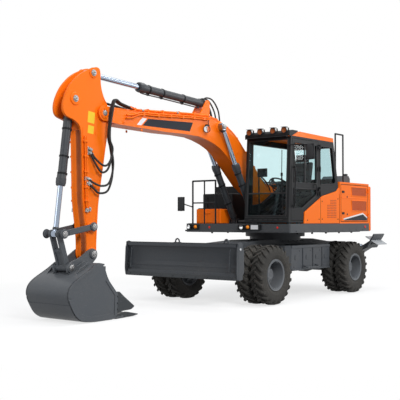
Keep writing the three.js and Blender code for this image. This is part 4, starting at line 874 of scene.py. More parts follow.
def boom_fittings():
    soften("boom", ORANGE, 0.009)
    boom_pipes()
    boom_film()
    # work lamp on its bracket at the left of the bend
    bracket = Shape(BOOM)
    bracket.block(2.6, 2.64, BOOM_HALF, BOOM_HALF + 0.07, 0.64, 0.76)
    bracket.tube(
        [(2.62, BOOM_HALF + 0.055, 0.74), (2.64, BOOM_HALF + 0.065, 0.79), (2.6, BOOM_HALF + 0.02, 0.86)],
        0.007, 10
    )
    make("boom_lamp_bracket", bracket, BLACK, "boom_body", 0.002, segments=1)
    work_lamp("boom_lamp", BOOM, (2.66, BOOM_HALF + 0.075, 0.66), (0.8, 0.25, -0.5), "boom_body", 0.062, 0.07)
    # weld seams along the side plates' top edges
    seams = Shape(BOOM)
    for y in (-BOOM_HALF, BOOM_HALF):
        seams.tube([(u, y, v - 0.004) for u, v in BOOM_TOP[1:]], 0.006, 6, True, 3)
    make("boom_seams", seams, ORANGE, "boom_body", sharp=60)
    for name, hand in SIDES:
        boss = Shape(BOOM)
        profile = [(0, 0), (0.1, 0), (0.097, 0.012), (0.07, 0.02), (0, 0.02)]
        boss.turned(profile, (2.24, hand * BOOM_HALF, 0.866), (0, hand, 0), 40)
        make("boom_ram_boss_" + name, boss, ORANGE, "boom_body", 0.002)
        ring = Shape(BOOM)
        ring.turned(
            [(0.045, 0), (0.086, 0), (0.086, 0.01), (0.045, 0.01)], (BOOM_LENGTH, hand * BOOM_HALF, 0),
            (0, hand, 0), 48, True
        )
        for c, s in circle(6):
            bolt(
                ring, (BOOM_LENGTH + 0.068 * c, hand * (BOOM_HALF + 0.01), 0.068 * s), (0, hand, 0), 0.009,
                0.007
            )
        make("boom_tip_ring_" + name, ring, ORANGE, "boom_body", 0.001, segments=1)
        pin_head(
            "boom_tip_pin_" + name, BOOM, (BOOM_LENGTH, hand * (BOOM_HALF + 0.001), 0), hand, 0.036,
            "boom_body"
        )
        plates = Shape(BOOM)
        for u, v, size in (
            (4.45, 0.16, 0.03), (4.62, 0.02, 0.026), (4.2, 0.05, 0.02), (1.55, 0.62, 0.02), (1.2, 0.35, 0.022)
        ):
            plates.block(u - size, u + size, hand * BOOM_HALF, hand * (BOOM_HALF + 0.006), v - size, v + size)
            bolt(plates, (u, hand * (BOOM_HALF + 0.006), v), (0, hand, 0), 0.008)
        make("boom_pads_" + name, plates, ORANGE, "boom_body", 0.001, segments=1)


boom_fittings()

# ---------------------------------------------------------------- arm, rams and hoses
def corner_curve(before, middle, after, reach, steps):
    """Points of the curve that takes a corner's place."""
    before, middle, after = Vector(before), Vector(middle), Vector(after)
    start = middle.lerp(before, min(0.5, reach / (before - middle).length))
    end = middle.lerp(after, min(0.5, reach / (after - middle).length))
    shares = [step / steps for step in range(steps + 1)]
    return [tuple(start.lerp(middle, t).lerp(middle.lerp(end, t), t)) for t in shares]


def eased(outline, reach, steps=6):
    """Closed outline whose corners become curves that begin a given distance before each corner."""
    curve = []
    for k, corner in enumerate(outline):
        curve += corner_curve(outline[k - 1], corner, outline[(k + 1) % len(outline)], reach, steps)
    return curve


def clipped(outline, axis, limit, keep):
    """Part of an outline on one side of a line across an axis; keep is 1 for above and -1 for below."""
    kept = []
    for k, point in enumerate(outline):
        before = outline[k - 1]
        inside, was_inside = (keep * (p[axis] - limit) >= 0 for p in (point, before))
        if inside != was_inside:
            share = (limit - before[axis]) / (point[axis] - before[axis])
            kept.append(tuple(b + share * (p - b) for p, b in zip(point, before)))
        if inside:
            kept.append(point)
    return kept


ARM_BACK = [
    (-0.618, 0.108), (-0.414, 0.086), (-0.242, -0.001), (-0.16, -0.09), (0.0, -0.125), (0.255, -0.15),
    (0.433, -0.13)
]
ARM_FRONT = [(-0.669, 0.244), (-0.493, 0.522), (-0.277, 0.704), (-0.041, 0.798), (0.111, 0.8), (0.2, 0.74)]
ARM_HEAD_END = [(0.22, 0.55), (0.3, 0.42), (0.725, 0.359), (1.368, 0.275), (1.9, 0.135), (2.06, 0.112)]
TOE_TURNS = (0.0, 0.4, 0.8, 1.2, 1.57, 1.97, 2.37, 2.77, 3.14)
ARM_TOE = [(2.16 + 0.105 * math.sin(a), 0.105 * math.cos(a)) for a in TOE_TURNS]
ARM_OUTLINE = [(-0.678, 0.147)] + ARM_FRONT + ARM_HEAD_END + ARM_TOE + [
    (2.0, -0.085), (1.383, -0.06)
] + ARM_BACK[::-1]
ARM_SLOT = 0.072
ARM_FORK = -0.29
ARM_EYE = (-0.567, 0.265)
BUCKET_RAM_FOOT = (-0.095, 0.585)
BOOM_RAM_PIN = (2.24, 0.866)


def arm_shell():
    outline = eased(ARM_OUTLINE, 0.13)
    shell = Shape(ARM)
    for hand in (1, -1):
        shell.prism(outline, hand * ARM_SLOT, hand * ARM_HALF)
    fork_end, slot_top = 0.33, 0.425
    middle = clipped(clipped(clipped(outline, 0, ARM_FORK, 1), 0, fork_end, -1), 1, slot_top, -1)
    for part in (clipped(outline, 0, fork_end, 1), middle):
        shell.prism(part, -ARM_SLOT, ARM_SLOT)
    make("arm_box", shell, ORANGE, "arm_body", 0.007, ("arm",), 30.0)


def round_boss(shape, spot, hand, radius, height):
    """Cast boss on a side face, with a soft shoulder."""
    profile = [
        (0.0, 0.0), (radius, 0.0), (radius * 0.98, height * 0.6), (radius * 0.9, height), (0.0, height)
    ]
    shape.turned(profile, spot, (0, hand, 0), 40)


def arm_fittings():
    pipes = Shape(ARM)
    clamps = Shape(ARM)
    for hand in (1, -1):
        for k, inset in enumerate((0.05, 0.082)):
            y = hand * (ARM_HALF + 0.022)
            bends = ((0.42, 0.4), (0.74, 0.356), (1.05, 0.316), (1.36, 0.274), (1.44, 0.255))
            run = [(u, y, v - inset) for u, v in bends]
            pipes.tube(run + [(1.5, hand * (ARM_HALF + 0.03), 0.235 - inset)], 0.0125, 12, True, 5)
        for u in (0.5, 0.72, 0.95, 1.18, 1.38):
            v = 0.42 - 0.1417 * (u - 0.3) - 0.066
            out = hand * (ARM_HALF + 0.042)
            clamps.block(u - 0.015, u + 0.015, hand * ARM_HALF, out, v - 0.042, v + 0.042)
            clamps.turned([(0, 0), (0.008, 0), (0.008, 0.006), (0, 0.006)], (u, out, v), (0, hand, 0), 6)
    make("arm_oil_lines", pipes, ORANGE, "arm_body", sharp=60)
    make("arm_line_clamps", clamps, ORANGE, "arm_body", 0.002, segments=1)

    valves = Shape(ARM)
    for hand in (1, -1):
        for u, v in ((1.52, 0.19), (1.5, 0.14), (1.12, 0.2), (0.62, 0.22)):
            y = hand * ARM_HALF
            valves.block(u - 0.028, u + 0.028, y, y + hand * 0.045, v - 0.02, v + 0.02)
            body = [(0, -0.034), (0.016, -0.034), (0.016, 0.0), (0.011, 0.002), (0.011, 0.034), (0, 0.034)]
            valves.turned(body, (u, y + hand * 0.03, v), (0.9, 0, -0.4), 12)
            spindle = [(0, 0), (0.012, 0), (0.012, 0.012), (0, 0.012)]
            valves.turned(spindle, (u, y + hand * 0.045, v), (0, hand, 0), 6)
    make("arm_shut_off_valves", valves, FITTING, "arm_body", 0.0015, segments=1)

    for label, hand in SIDES:
        face = hand * ARM_HALF
        bosses = Shape(ARM)
        for u, v, radius, height in (
            (0.0, 0.0, 0.115, 0.014),
            (*ARM_EYE, 0.082, 0.012),
            (*BUCKET_RAM_FOOT, 0.098, 0.014),
            (1.755, 0.065, 0.075, 0.014),
            (2.16, 0.0, 0.098, 0.01),
        ):
            round_boss(bosses, (u, face, v), hand, radius, height)
        make("arm_bosses_" + label, bosses, ORANGE, "arm_body", 0.002)
        out = face + hand * 0.013
        for name, (u, v) in (("arm_eye_pin_", ARM_EYE), ("bucket_ram_pin_", BUCKET_RAM_FOOT)):
            pin_head(name + label, ARM, (u, out, v), hand, 0.034, "arm_body")
        seams = Shape(ARM)
        y = hand * (ARM_HALF + 0.0005)
        back = [(u, y, v + 0.03) for u, v in [(1.95, -0.083), (1.383, -0.06)] + ARM_BACK[::-1][:5]]
        seams.tube(back, 0.0045, 6, True, 4)
        front = [(u, y, v - 0.03) for u, v in ARM_HEAD_END[1:5]]
        seams.tube(front, 0.0045, 6, True, 4)
        for u, v in ((0.34, 0.1), (1.2, 0.02), (0.9, -0.02)):
            seams.block(u - 0.02, u + 0.02, face, face + hand * 0.006, v - 0.02, v + 0.02)
        make("arm_seams_" + label, seams, ORANGE, "arm_body", sharp=50)
        film = Shape(ARM)
        for u0, u1, top in ((0.03, 0.2, 0.3), (0.24, 0.36, 0.28)):
            film.block(u0, u1, face, face + hand * 0.0012, 0.16, top)
        make("arm_blank_labels_" + label, film, STICKER, "arm_body")


def ram_dress(name, foot, eye, tube, gland, bodies, side=0.0):
    """Gland, weld rings, clamp bands and the oil line under one ram, and the wiper collar."""
    place = frame_at(foot, eye - foot)
    start, along = (0, side, 0), (1, 0, 0)
    rings = Shape(place)
    rings.turned(
        [
            (tube - 0.006, gland - 0.15),
            (tube + 0.006, gland - 0.148),
            (tube + 0.008, gland - 0.1),
            (tube + 0.016, gland - 0.095),
            (tube + 0.016, gland - 0.02),
            (tube + 0.01, gland - 0.005),
            (tube + 0.01, gland + 0.012),
            (tube - 0.012, gland + 0.02),
            (tube - 0.022, gland + 0.021),
            (tube - 0.022, gland - 0.1),
        ],
        start,
        along,
        40,
        True,
    )
    inside, outside = tube - 0.004, tube + 0.006
    for c, s in circle(8, 0.5):
        bolt_head = [(0, 0), (0.008, 0), (0.008, 0.012), (0, 0.012)]
        rings.turned(bolt_head, (gland + 0.01, side + inside * c, inside * s), along, 6)
    rings.turned([(inside, 0.1), (outside, 0.105), (outside, 0.125), (inside, 0.13)], start, along, 40, True)
    make(name + "_gland", rings, DARK, bodies[0], 0.0015, segments=1)
    bands = Shape(place)
    for share in (0.34, 0.66, 0.86):
        u = gland * share
        low, high = tube - 0.002, tube + 0.007
        bands.turned([(low, u), (high, u), (high, u + 0.026), (low, u + 0.026)], start, along, 40, True)
        bands.block(u - 0.004, u + 0.03, side - 0.02, side + 0.02, -tube - 0.034, -tube)
    make(name + "_bands", bands, BLACK, bodies[0], 0.001, segments=1)
    line = Shape(place)
    level = [(u, side, -tube - 0.02) for u in (0.15, gland * 0.3, gland * 0.7, gland - 0.09)]
    run = [(0.14, side, -tube * 0.8), *level, (gland - 0.06, side, -tube * 0.9)]
    line.tube(run, 0.011, 10, True, 4)
    for u in (0.15, gland - 0.06):
        line.turned([(0, 0), (0.019, 0), (0.019, 0.026), (0, 0.026)], (u, side, -inside), (0, 0, -1), 6)
    make(name + "_line", line, DARK, bodies[0], sharp=50)
    collar = Shape(place)
    reach = (eye - foot).length
    profile = [(0.55, 0.1), (0.8, 0.095), (0.86, 0.07), (0.6, 0.055)]
    collar.turned([(tube * share, reach - back) for share, back in profile], start, along, 36, True)
    make(name + "_collar", collar, DARK, bodies[1], 0.001, segments=1)


def on(place, pin):
    """A pin's middle, from its place along and above."""
    return place @ Vector((pin[0], 0, pin[1]))


def dress_rams():
    foot, eye = BOOM @ Vector((2.6, 0, 1.185)), on(ARM, ARM_EYE)
    ram_dress("arm_ram", foot, eye, 0.07, 1.74, ("arm_barrel_body", "arm_rod_body"))
    foot, eye = on(ARM, BUCKET_RAM_FOOT), at(5.8, BOOM_LINE, 1.281)
    ram_dress("bucket_ram", foot, eye, 0.06, 1.285, ("bucket_barrel_body", "bucket_rod_body"))
    foot, eye = at(0.95, BOOM_LINE, 1.455), on(BOOM, BOOM_RAM_PIN)
    u, v = BOOM_RAM_PIN
    for label, hand in SIDES:
        ram_dress(
            "boom_ram_" + label, foot, eye, 0.062, 1.235, ("boom_barrels_body", "boom_rods_body"),
            hand * 0.235
        )
        pin_head("boom_ram_pin_" + label, BOOM, (u, hand * 0.287, v), hand, 0.036, "boom_rods_body")


# Each crossing hose: its offset to the side, how far down the arm and how far out its loop hangs,
# and its end on the arm.
HOSE_RUNS = (
    (0.19, 1.16, -0.3, 1.12, 0.2),
    (0.225, 1.05, -0.26, 1.05, 0.22),
    (0.2, 0.84, -0.22, 0.66, 0.22),
    (0.235, 0.74, -0.2, 0.6, 0.24),
    (-0.19, 1.02, -0.26, 1.12, 0.2),
    (-0.22, 0.8, -0.22, 0.62, 0.22),
)


def run_hoses():
    """Hoses that cross from the boom's tip to the arm, laid through points on both."""
    ends = Shape(ARM)
    hoses = Shape(FREE)
    for k, (y, drop, swing, end_u, end_v) in enumerate(HOSE_RUNS):
        hand = math.copysign(1, y)
        lane = hand * (0.05 + 0.022 * (k % 4))
        spot = (end_u, hand * (ARM_HALF + 0.032), end_v)
        boom_part = (
            (4.5, lane, above_boom(4.5) + 0.05),
            (4.74, lane + hand * 0.03, above_boom(4.74) + 0.085),
            (4.95, y * 0.95, 0.25),
        )
        arm_part = (
            (0.02, y + hand * 0.01, -0.08),
            (0.36, y, swing * 0.35),
            (drop * 0.72, y, swing * 0.8),
            (drop, y, swing * 0.6),
            (drop + 0.08, y, 0.0),
            ((drop + end_u) / 2 + 0.05, hand * (ARM_HALF + 0.05), end_v - 0.1),
            spot,
        )
        points = [BOOM @ Vector(p) for p in boom_part] + [ARM @ Vector(p) for p in arm_part]
        hoses.tube(points, 0.0165, 14, True, 8)
        half = [
            (0.021, -0.05), (0.021, -0.012), (0.026, -0.012), (0.026, 0.02), (0.016, 0.022), (0.016, 0.05)
        ]
        ends.turned([(0, -0.05), *half, (0, 0.05)], spot, (-0.15, 0, 1), 6)
        ends.block(
            end_u - 0.03, end_u + 0.03, hand * ARM_HALF, hand * (ARM_HALF + 0.03), end_v + 0.02, end_v + 0.06
        )
    piece = form("boom_to_arm_hoses", hoses, HOSE, 0.0, 60.0)
    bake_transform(piece)
    make("hose_ends", ends, FITTING, "arm_body", 0.001, segments=1)

    sleeves = Shape(BOOM)
    for k in range(4):
        for hand in (1, -1):
            profile = [(0, 0), (0.02, 0), (0.02, 0.05), (0.024, 0.05), (0.024, 0.07), (0, 0.07)]
            spot = (4.42, hand * (0.05 + 0.022 * k), above_boom(4.42) + 0.048)
            sleeves.turned(profile, spot, (0.95, 0, -0.2), 6)
    make("hose_roots", sleeves, FITTING, "boom_body", 0.001, segments=1)

    arcs = Shape(BOOM)
    for y, rise, back in ((0.05, 0.2, 2.2), (0.09, 0.24, 2.14), (-0.05, 0.2, 2.2), (-0.09, 0.23, 2.12)):
        top = above_boom(back)
        start = [(back, y, top + 0.03), (back + 0.12, y, top + rise)]
        crest = [(back + 0.32, y * 0.9, top + rise + 0.12), (back + 0.5, y * 0.75, top + rise + 0.09)]
        arcs.tube(start + crest + [(back + 0.56, y * 0.7, 1.185)], 0.014)
        foot = [(0.5, y * 1.5, 0.42), (0.28, y * 1.4, 0.33), (0.12, y * 1.2, 0.16)]
        arcs.tube([(0.72, y * 1.5, above_boom(0.72) + 0.03), *foot], 0.016)
    make("boom_hoses", arcs, HOSE, "boom_body", sharp=60)


arm_shell()
arm_fittings()
dress_rams()
run_hoses()

# ---------------------------------------------------------------- bucket and its links
BUCKET_HALF = 0.45
PIN = (5.191, 0.972)
PUSH_PIN = (5.64, 0.785)
LINK_PIN = (5.213, 1.381)
LINK_END = (5.8, 1.281)
BUCKET_LINE = GROUND @ Matrix.Translation((0, BOOM_LINE, 0))
BUCKET_SIDE = [
    (5.401, 0.865),
    (5.251, 0.823),
    (5.173, 0.604),
    (4.966, 0.375),
    (4.98, 0.036),
    (5.044, 0.01),
    (5.493, 0.006),
    (5.778, 0.046),
    (5.963, 0.348),
    (5.964, 0.483),
    (5.874, 0.596),
    (5.497, 0.782),
]
BUCKET_BACK = BUCKET_SIDE[6:]
BUCKET_FLOOR = [(4.85, 0.036), (4.87, 0.014), (5.044, 0.008), *BUCKET_BACK, (5.401, 0.865), (5.24, 0.835)]
BUCKET_EAR = [
    (5.1, 0.93), (5.12, 1.03), (5.21, 1.064), (5.29, 1.03), (5.45, 0.93), (5.66, 0.858), (5.712, 0.8),
    (5.705, 0.69), (5.56, 0.72), (5.4, 0.83), (5.25, 0.8), (5.17, 0.86)
]


def inner_side(chain, depth):
    """The same chain moved towards its left, for the inside of a plate."""
    moved = []
    for k, point in enumerate(chain):
        ahead = Vector(chain[min(k + 1, len(chain) - 1)]) - Vector(chain[max(k - 1, 0)])
        left = Vector((-ahead.y, ahead.x)).normalized()
        moved.append(tuple(Vector(point) + left * depth))
    return moved


def eased_chain(chain, reach):
    curve = [chain[0]]
    for before, middle, after in zip(chain, chain[1:], chain[2:]):
        curve += corner_curve(before, middle, after, reach, 8)
    return curve + [chain[-1]]


def tooth(shape, y):
    """Adapter on the lip and the pointed tooth that sits on it."""
    rings = []
    for x, low, high, half in (
        (4.99, 0.0, 0.068, 0.042),
        (4.8, 0.004, 0.084, 0.042),
        (4.72, 0.008, 0.078, 0.036),
        (4.715, 0.006, 0.082, 0.04),
        (4.6, 0.009, 0.058, 0.034),
        (4.48, 0.022, 0.034, 0.024),
    ):
        corners = ((y - half, low), (y + half, low), (y + half, high), (y - half, high))
        rings.append(shape.ring((x, across, z) for across, z in corners))
    shape.loft(rings, capped=True)


def build_bucket():
    body = "bucket_body"
    side = eased(BUCKET_SIDE, 0.16, 8)
    shell = Shape(BUCKET_LINE)
    for hand in (1, -1):
        shell.prism(side, hand * (BUCKET_HALF - 0.022), hand * BUCKET_HALF)
    chain = eased_chain(BUCKET_FLOOR, 0.16)
    shell.prism(chain + inner_side(chain, 0.022)[::-1], -BUCKET_HALF + 0.004, BUCKET_HALF - 0.004)
    shell.block(4.84, 5.06, -BUCKET_HALF, BUCKET_HALF, 0.012, 0.04)
    for hand in (1, -1):
        shell.prism(eased(BUCKET_EAR, 0.05), hand * (ARM_HALF + 0.01), hand * (ARM_HALF + 0.036))
    for (x, z), radius in ((PIN, 0.035), (PUSH_PIN, 0.032)):
        shell.rod((x, -0.156, z), (x, 0.156, z), radius, 24)
    make("bucket_shell", shell, BUCKET, body, 0.004, ("bucket",), 30.0)

    wear = Shape(BUCKET_LINE)
    centre = Vector((5.45, 0.43))
    for hand in (1, -1):
        face = hand * BUCKET_HALF
        lower = [p for p in side if p[1] < 0.36 and p[0] > 5.0]
        upper = [p for p in side if p[1] >= 0.36 and p[0] > 5.46]
        for band, share, thick in ((lower, 0.2, 0.012), (upper, 0.1, 0.008)):
            inner = [tuple(Vector(p).lerp(centre, share)) for p in band]
            wear.prism(band + inner[::-1], face, face + hand * thick)
        mouth = [(4.966, 0.375), (5.173, 0.604), (5.225, 0.585), (5.03, 0.36), (5.04, 0.05), (4.985, 0.05)]
        wear.prism(mouth, face, face + hand * 0.009)
    heel = [p for p in chain if p[0] > 5.05 and p[1] < 0.3]
    wear.prism(heel + inner_side(heel, -0.006)[::-1], -BUCKET_HALF + 0.01, BUCKET_HALF - 0.01)
    make("bucket_wear_plates", wear, BUCKET, body, 0.003, sharp=40)

    cutters = Shape(BUCKET_LINE)
    for hand in (1, -1):
        face = hand * BUCKET_HALF
        blade = [
            (5.02, 0.4), (4.93, 0.41), (4.83, 0.33), (4.592, 0.162), (4.67, 0.118), (4.86, 0.11), (5.02, 0.1)
        ]
        cutters.prism(eased(blade, 0.02, 3), face + hand * 0.002, face - hand * 0.026)
        for x, z in ((4.97, 0.34), (4.97, 0.24), (4.97, 0.15)):
            bolt(cutters, (x, face + hand * 0.002, z), (0, hand, 0), 0.018, 0.014)
    for k in range(5):
        tooth(cutters, -BUCKET_HALF + 0.06 + 0.195 * k)
    make("bucket_teeth", cutters, EDGE_STEEL, body, 0.003, sharp=30)

    dress = Shape(BUCKET_LINE)
    for hand in (1, -1):
        for x, z in (PIN, PUSH_PIN):
            round_boss(dress, (x, hand * (ARM_HALF + 0.036), z), hand, 0.075, 0.02)
        plate = [(5.2, 0.8), (5.56, 0.74), (5.54, 0.7), (5.2, 0.72)]
        dress.prism(plate, hand * 0.17, hand * (BUCKET_HALF - 0.02))
        rib = [(5.24, 0.83), (5.42, 0.87), (5.6, 0.78), (5.72, 0.66), (5.5, 0.76), (5.4, 0.84)]
        for y in (0.165, 0.3):
            dress.prism(rib, hand * y, hand * (y + 0.014))
    make("bucket_gussets", dress, BUCKET, body, 0.003, sharp=36)
    for label, hand in SIDES:
        for pin, (x, z) in (("pin", PIN), ("push_pin", PUSH_PIN)):
            pin_head(
                "bucket_" + pin + "_" + label, BUCKET_LINE, (x, hand * (ARM_HALF + 0.056), z), hand, 0.032,
                body
            )


def dress_links():
    for label, hand in SIDES:
        bosses = Shape(BUCKET_LINE)
        for x, z in (LINK_PIN, LINK_END):
            round_boss(bosses, (x, hand * 0.19, z), hand, 0.07, 0.016)
            for c, s in circle(4, 0.5):
                bolt(bosses, (x + 0.048 * c, hand * 0.206, z + 0.048 * s), (0, hand, 0), 0.008, 0.007)
        bosses.prism([(5.3, 1.395), (5.71, 1.325), (5.7, 1.265), (5.29, 1.335)], hand * 0.19, hand * 0.197)
        make("side_link_bosses_" + label, bosses, LINK, "side_links_body", 0.002)
        for name, (x, z) in (("side_link_pin_", LINK_PIN), ("link_end_pin_", LINK_END)):
            pin_head(name + label, BUCKET_LINE, (x, hand * 0.206, z), hand, 0.03, "side_links_body")


build_bucket()
dress_links()

# ---------------------------------------------------------------- upper structure's details
HOOD_SIDE = 1.215
TAIL_RADIUS = 2.25


def slotted_grille(name, x0, x1, z0, z1, hand, rows, columns, body):
    """Pressed grille: a frame with rows of slots over a dark ground; ground and bars are darkened orange,
    painted shade in the slots.
    """
    face = hand * HOOD_SIDE
    # Ground and bars in darkened orange: painted shade in the grille's slots.
    ground = Shape()
    ground.block(x0, x1, face, face + hand * 0.002, z0, z1)
    make(name + "_ground", ground, PAINTED_SHADE_ORANGE, body)
    bar_height = (z1 - z0) / rows
    seed = Shape(GROUND)
    width = (x1 - x0) / columns
    for k in range(rows):
        z = z0 + bar_height * k
        gap = 0.003
        near, far = face + hand * 0.001, face + hand * 0.006
        seed.block(x0 + gap, x0 + width - gap, near, far, z, z + bar_height * 0.42)
    grid = Shape(FREE)
    grid.add(repeated(seed, columns, (width, 0, 0), ORANGE))
    border = Shape()
    edge, out = 0.012, face + hand * 0.008
    for low, high in ((z0 - edge, z0), (z1, z1 + edge)):
        border.block(x0 - edge, x1 + edge, face, out, low, high)
    for back, front in ((x0 - edge, x0), (x1, x1 + edge)):
        border.block(back, front, face, out, z0, z1)
    make(name + "_bars", grid, PAINTED_SHADE_ORANGE, body, sharp=30)
    make(name + "_frame", border, ORANGE, body, 0.002, segments=1)


def hood_details():
    for label, hand in SIDES:
        body = "side_door_" + label + "_body"
        slotted_grille("upper_grille_" + label, -1.66, -1.0, 1.985, 2.15, hand, 9, 16, body)
        slotted_grille("lower_grille_" + label, -1.66, -1.0, 1.68, 1.875, hand, 10, 16, body)
        face = hand * HOOD_SIDE
        line = face + hand * 0.001
        # Black lines round the door: painted shade in the door's gap.
        seam = Shape()
        for z in (1.46, 2.195):
            seam.rod((-1.73, line, z), (-0.53, line, z), 0.003, 6)
        for x in (-1.731, -0.528):
            seam.rod((x, line, 1.46), (x, line, 2.195), 0.003, 6)
        make("door_gap_" + label, seam, BLACK, body)
        crease = Shape()
        crease.rod((-1.72, face, 1.93), (-0.54, face, 1.93), 0.006, 8)
        make("door_crease_" + label, crease, ORANGE, body)
        latch = Shape()
        out = face + hand * 0.009
        for z in (1.62, 2.05):
            plate = [(-0.67, z - 0.022), (-0.57, z - 0.022), (-0.57, z + 0.022), (-0.67, z + 0.022)]
            latch.prism(eased(plate, 0.014, 3), face, out)
            latch.turned([(0, 0), (0.012, 0), (0.011, 0.006), (0, 0.007)], (-0.598, out, z), (0, hand, 0), 20)
        for z in (1.95, 1.6):
            latch.turned([(0, 0), (0.02, 0), (0.018, 0.005), (0, 0.006)], (-0.8, face, z), (0, hand, 0), 20)
        make("door_latches_" + label, latch, BLACK, body, 0.001, segments=1)
        ridge = [(-0.65, 1.49), (-1.5, 1.602), (-1.7, 1.52)]
        dark = [(-1.7, 1.475), (-0.68, 1.475), *ridge]
        light = [ridge[0], (-0.63, 1.513), (-1.5, 1.634), (-1.7, 1.551), ridge[2], ridge[1]]
        for kind, outline, film in (("dark", dark, DECAL_DARK), ("light", light, DECAL_WHITE)):
            panel = Shape()
            panel.prism(outline, face, face + hand * 0.0012)
            make(kind + "_side_film_" + label, panel, film, body)

    # Louvre slits in darkened orange: painted shade in the slits.
    rows = Shape(FREE)
    for z, count, ends in ((1.53, 8, (0.04, -0.09, -0.22)), (1.794, 3, (-0.09, -0.22))):
        slits = Shape(GROUND)
        for x in ends:
            slits.prism(
                [(x, z), (x - 0.11, z + 0.004), (x - 0.11, z + 0.018), (x, z + 0.014)], HOOD_SIDE,
                HOOD_SIDE + 0.005
            )
        rows.add(repeated(slits, count, (0, 0, 0.033), PAINTED_SHADE_ORANGE))
    make("panel_louvres", rows, PAINTED_SHADE_ORANGE, SWING, 0.001, segments=1)
    # Black lines in the gaps between panels: painted shade in the gaps.
    panel = Shape()
    for x, top in ((-0.46, 2.0), (0.3, 1.9)):
        panel.rod((x, HOOD_SIDE + 0.0005, 1.43), (x, HOOD_SIDE + 0.0005, top), 0.003, 6)
    make("panel_gaps", panel, BLACK, SWING)
    studs = Shape()
    for x, z in ((-0.4, 1.9), (-0.4, 1.5), (0.24, 1.5), (0.36, 1.5), (0.8, 1.48), (0.24, 1.84)):
        bolt(studs, (x, HOOD_SIDE, z), (0, 1, 0), 0.009, 0.006)
    make("panel_bolts", studs, BLACK, SWING, segments=1)

    cap = Shape()
    cap.prism(eased([(-1.66, -0.94), (-0.82, -0.94), (-0.82, 0.3), (-1.66, 0.3)], 0.08), 2.3, 2.312, "XY")
    for k in range(9):
        cap.block(-1.6, -0.88, -0.86 + 0.12 * k, -0.8 + 0.12 * k, 2.31, 2.322)
    make("hood_lid_ribs", cap, PLASTIC, "hood_lid_body", 0.003, segments=1)
    exhaust = Shape()
    for inner, outer, height in ((0.05, 0.058, 0.1), (0.045, 0.08, 0.012)):
        wall = [(inner, 0), (outer, 0), (outer, height), (inner, height)]
        exhaust.turned(wall, (-0.62, -0.8, 2.245), (0, 0, 1), 32, True)
    make("exhaust_outlet", exhaust, BLACK, SWING, 0.001, segments=1)
    lookout = Shape()
    lookout.block(-1.66, -1.58, 0.7, 0.79, 2.425, 2.47)
    lookout.turned(
        [(0, 0), (0.03, 0), (0.032, 0.012), (0.02, 0.02), (0, 0.02)], (-1.66, 0.745, 2.447), (-1, 0, 0), 24
    )
    make("rear_camera_housing", lookout, PLASTIC, "hood_lid_body", 0.006)


def on_tail(degrees, height):
    """Point on the counterweight's round back and the way out from it."""
    out = Vector((-math.cos(math.radians(degrees)), math.sin(math.radians(degrees)), 0))
    return out * TAIL_RADIUS + Vector((0, 0, height)), out


def tail_details():
    markers = Shape()
    lamps = Shape()
    shells = Shape()
    for hand in (1, -1):
        markers.turned(
            [(0, 0), (0.028, 0), (0.025, 0.008), (0, 0.01)], (-1.6, hand * HOOD_SIDE, 1.34), (0, hand, 0), 24
        )
        for degrees, kind in ((24, markers), (20.5, lamps)):
            spot, out = on_tail(hand * degrees, 1.42)
            kind.turned([(0, 0), (0.045, 0), (0.042, 0.012), (0, 0.018)], spot, out, 28)
            bezel = [(0.045, -0.01), (0.0575, -0.01), (0.055, 0.012), (0.045, 0.012)]
            shells.turned(bezel, spot, out, 28, True)
        for degrees in (8, 27):
            for height in (1.33, 2.05):
                spot, out = on_tail(hand * degrees, height)
                bolt(shells, spot, out, 0.02, 0.012)
        socket = [(0.03, 0), (0.06, 0), (0.06, 0.014), (0.03, 0.014)]
        shells.turned(socket, (-1.98, hand * 0.62, 2.2), (0, 0, 1), 28, True)
    make("side_reflectors", markers, RED, SWING, sharp=50)
    make("tail_indicators", lamps, AMBER, SWING, sharp=50)
    make("tail_bolts_and_bezels", shells, BLACK, SWING, segments=1)
    # Seam lines in darkened orange: painted shade in the tail's seams.
    seams = Shape()
    for height in (1.3, 2.12):
        seams.tube([on_tail(-31.5 + 2.1 * k, height)[0] for k in range(31)], 0.004, 6, False)
    make("tail_seams", seams, PAINTED_SHADE_ORANGE, SWING, sharp=60)
    hitch = Shape()
    hitch.block(-2.262, -2.235, -0.16, 0.16, 1.5, 1.62)
    hitch.turned(
        [(0.0, 0.0), (0.028, 0.0), (0.024, 0.012), (0.0, 0.014)], (-2.262, 0.0, 1.56), (-1, 0, 0), 24
    )
    make("tail_camera_and_cover", hitch, PLASTIC, SWING, 0.006)


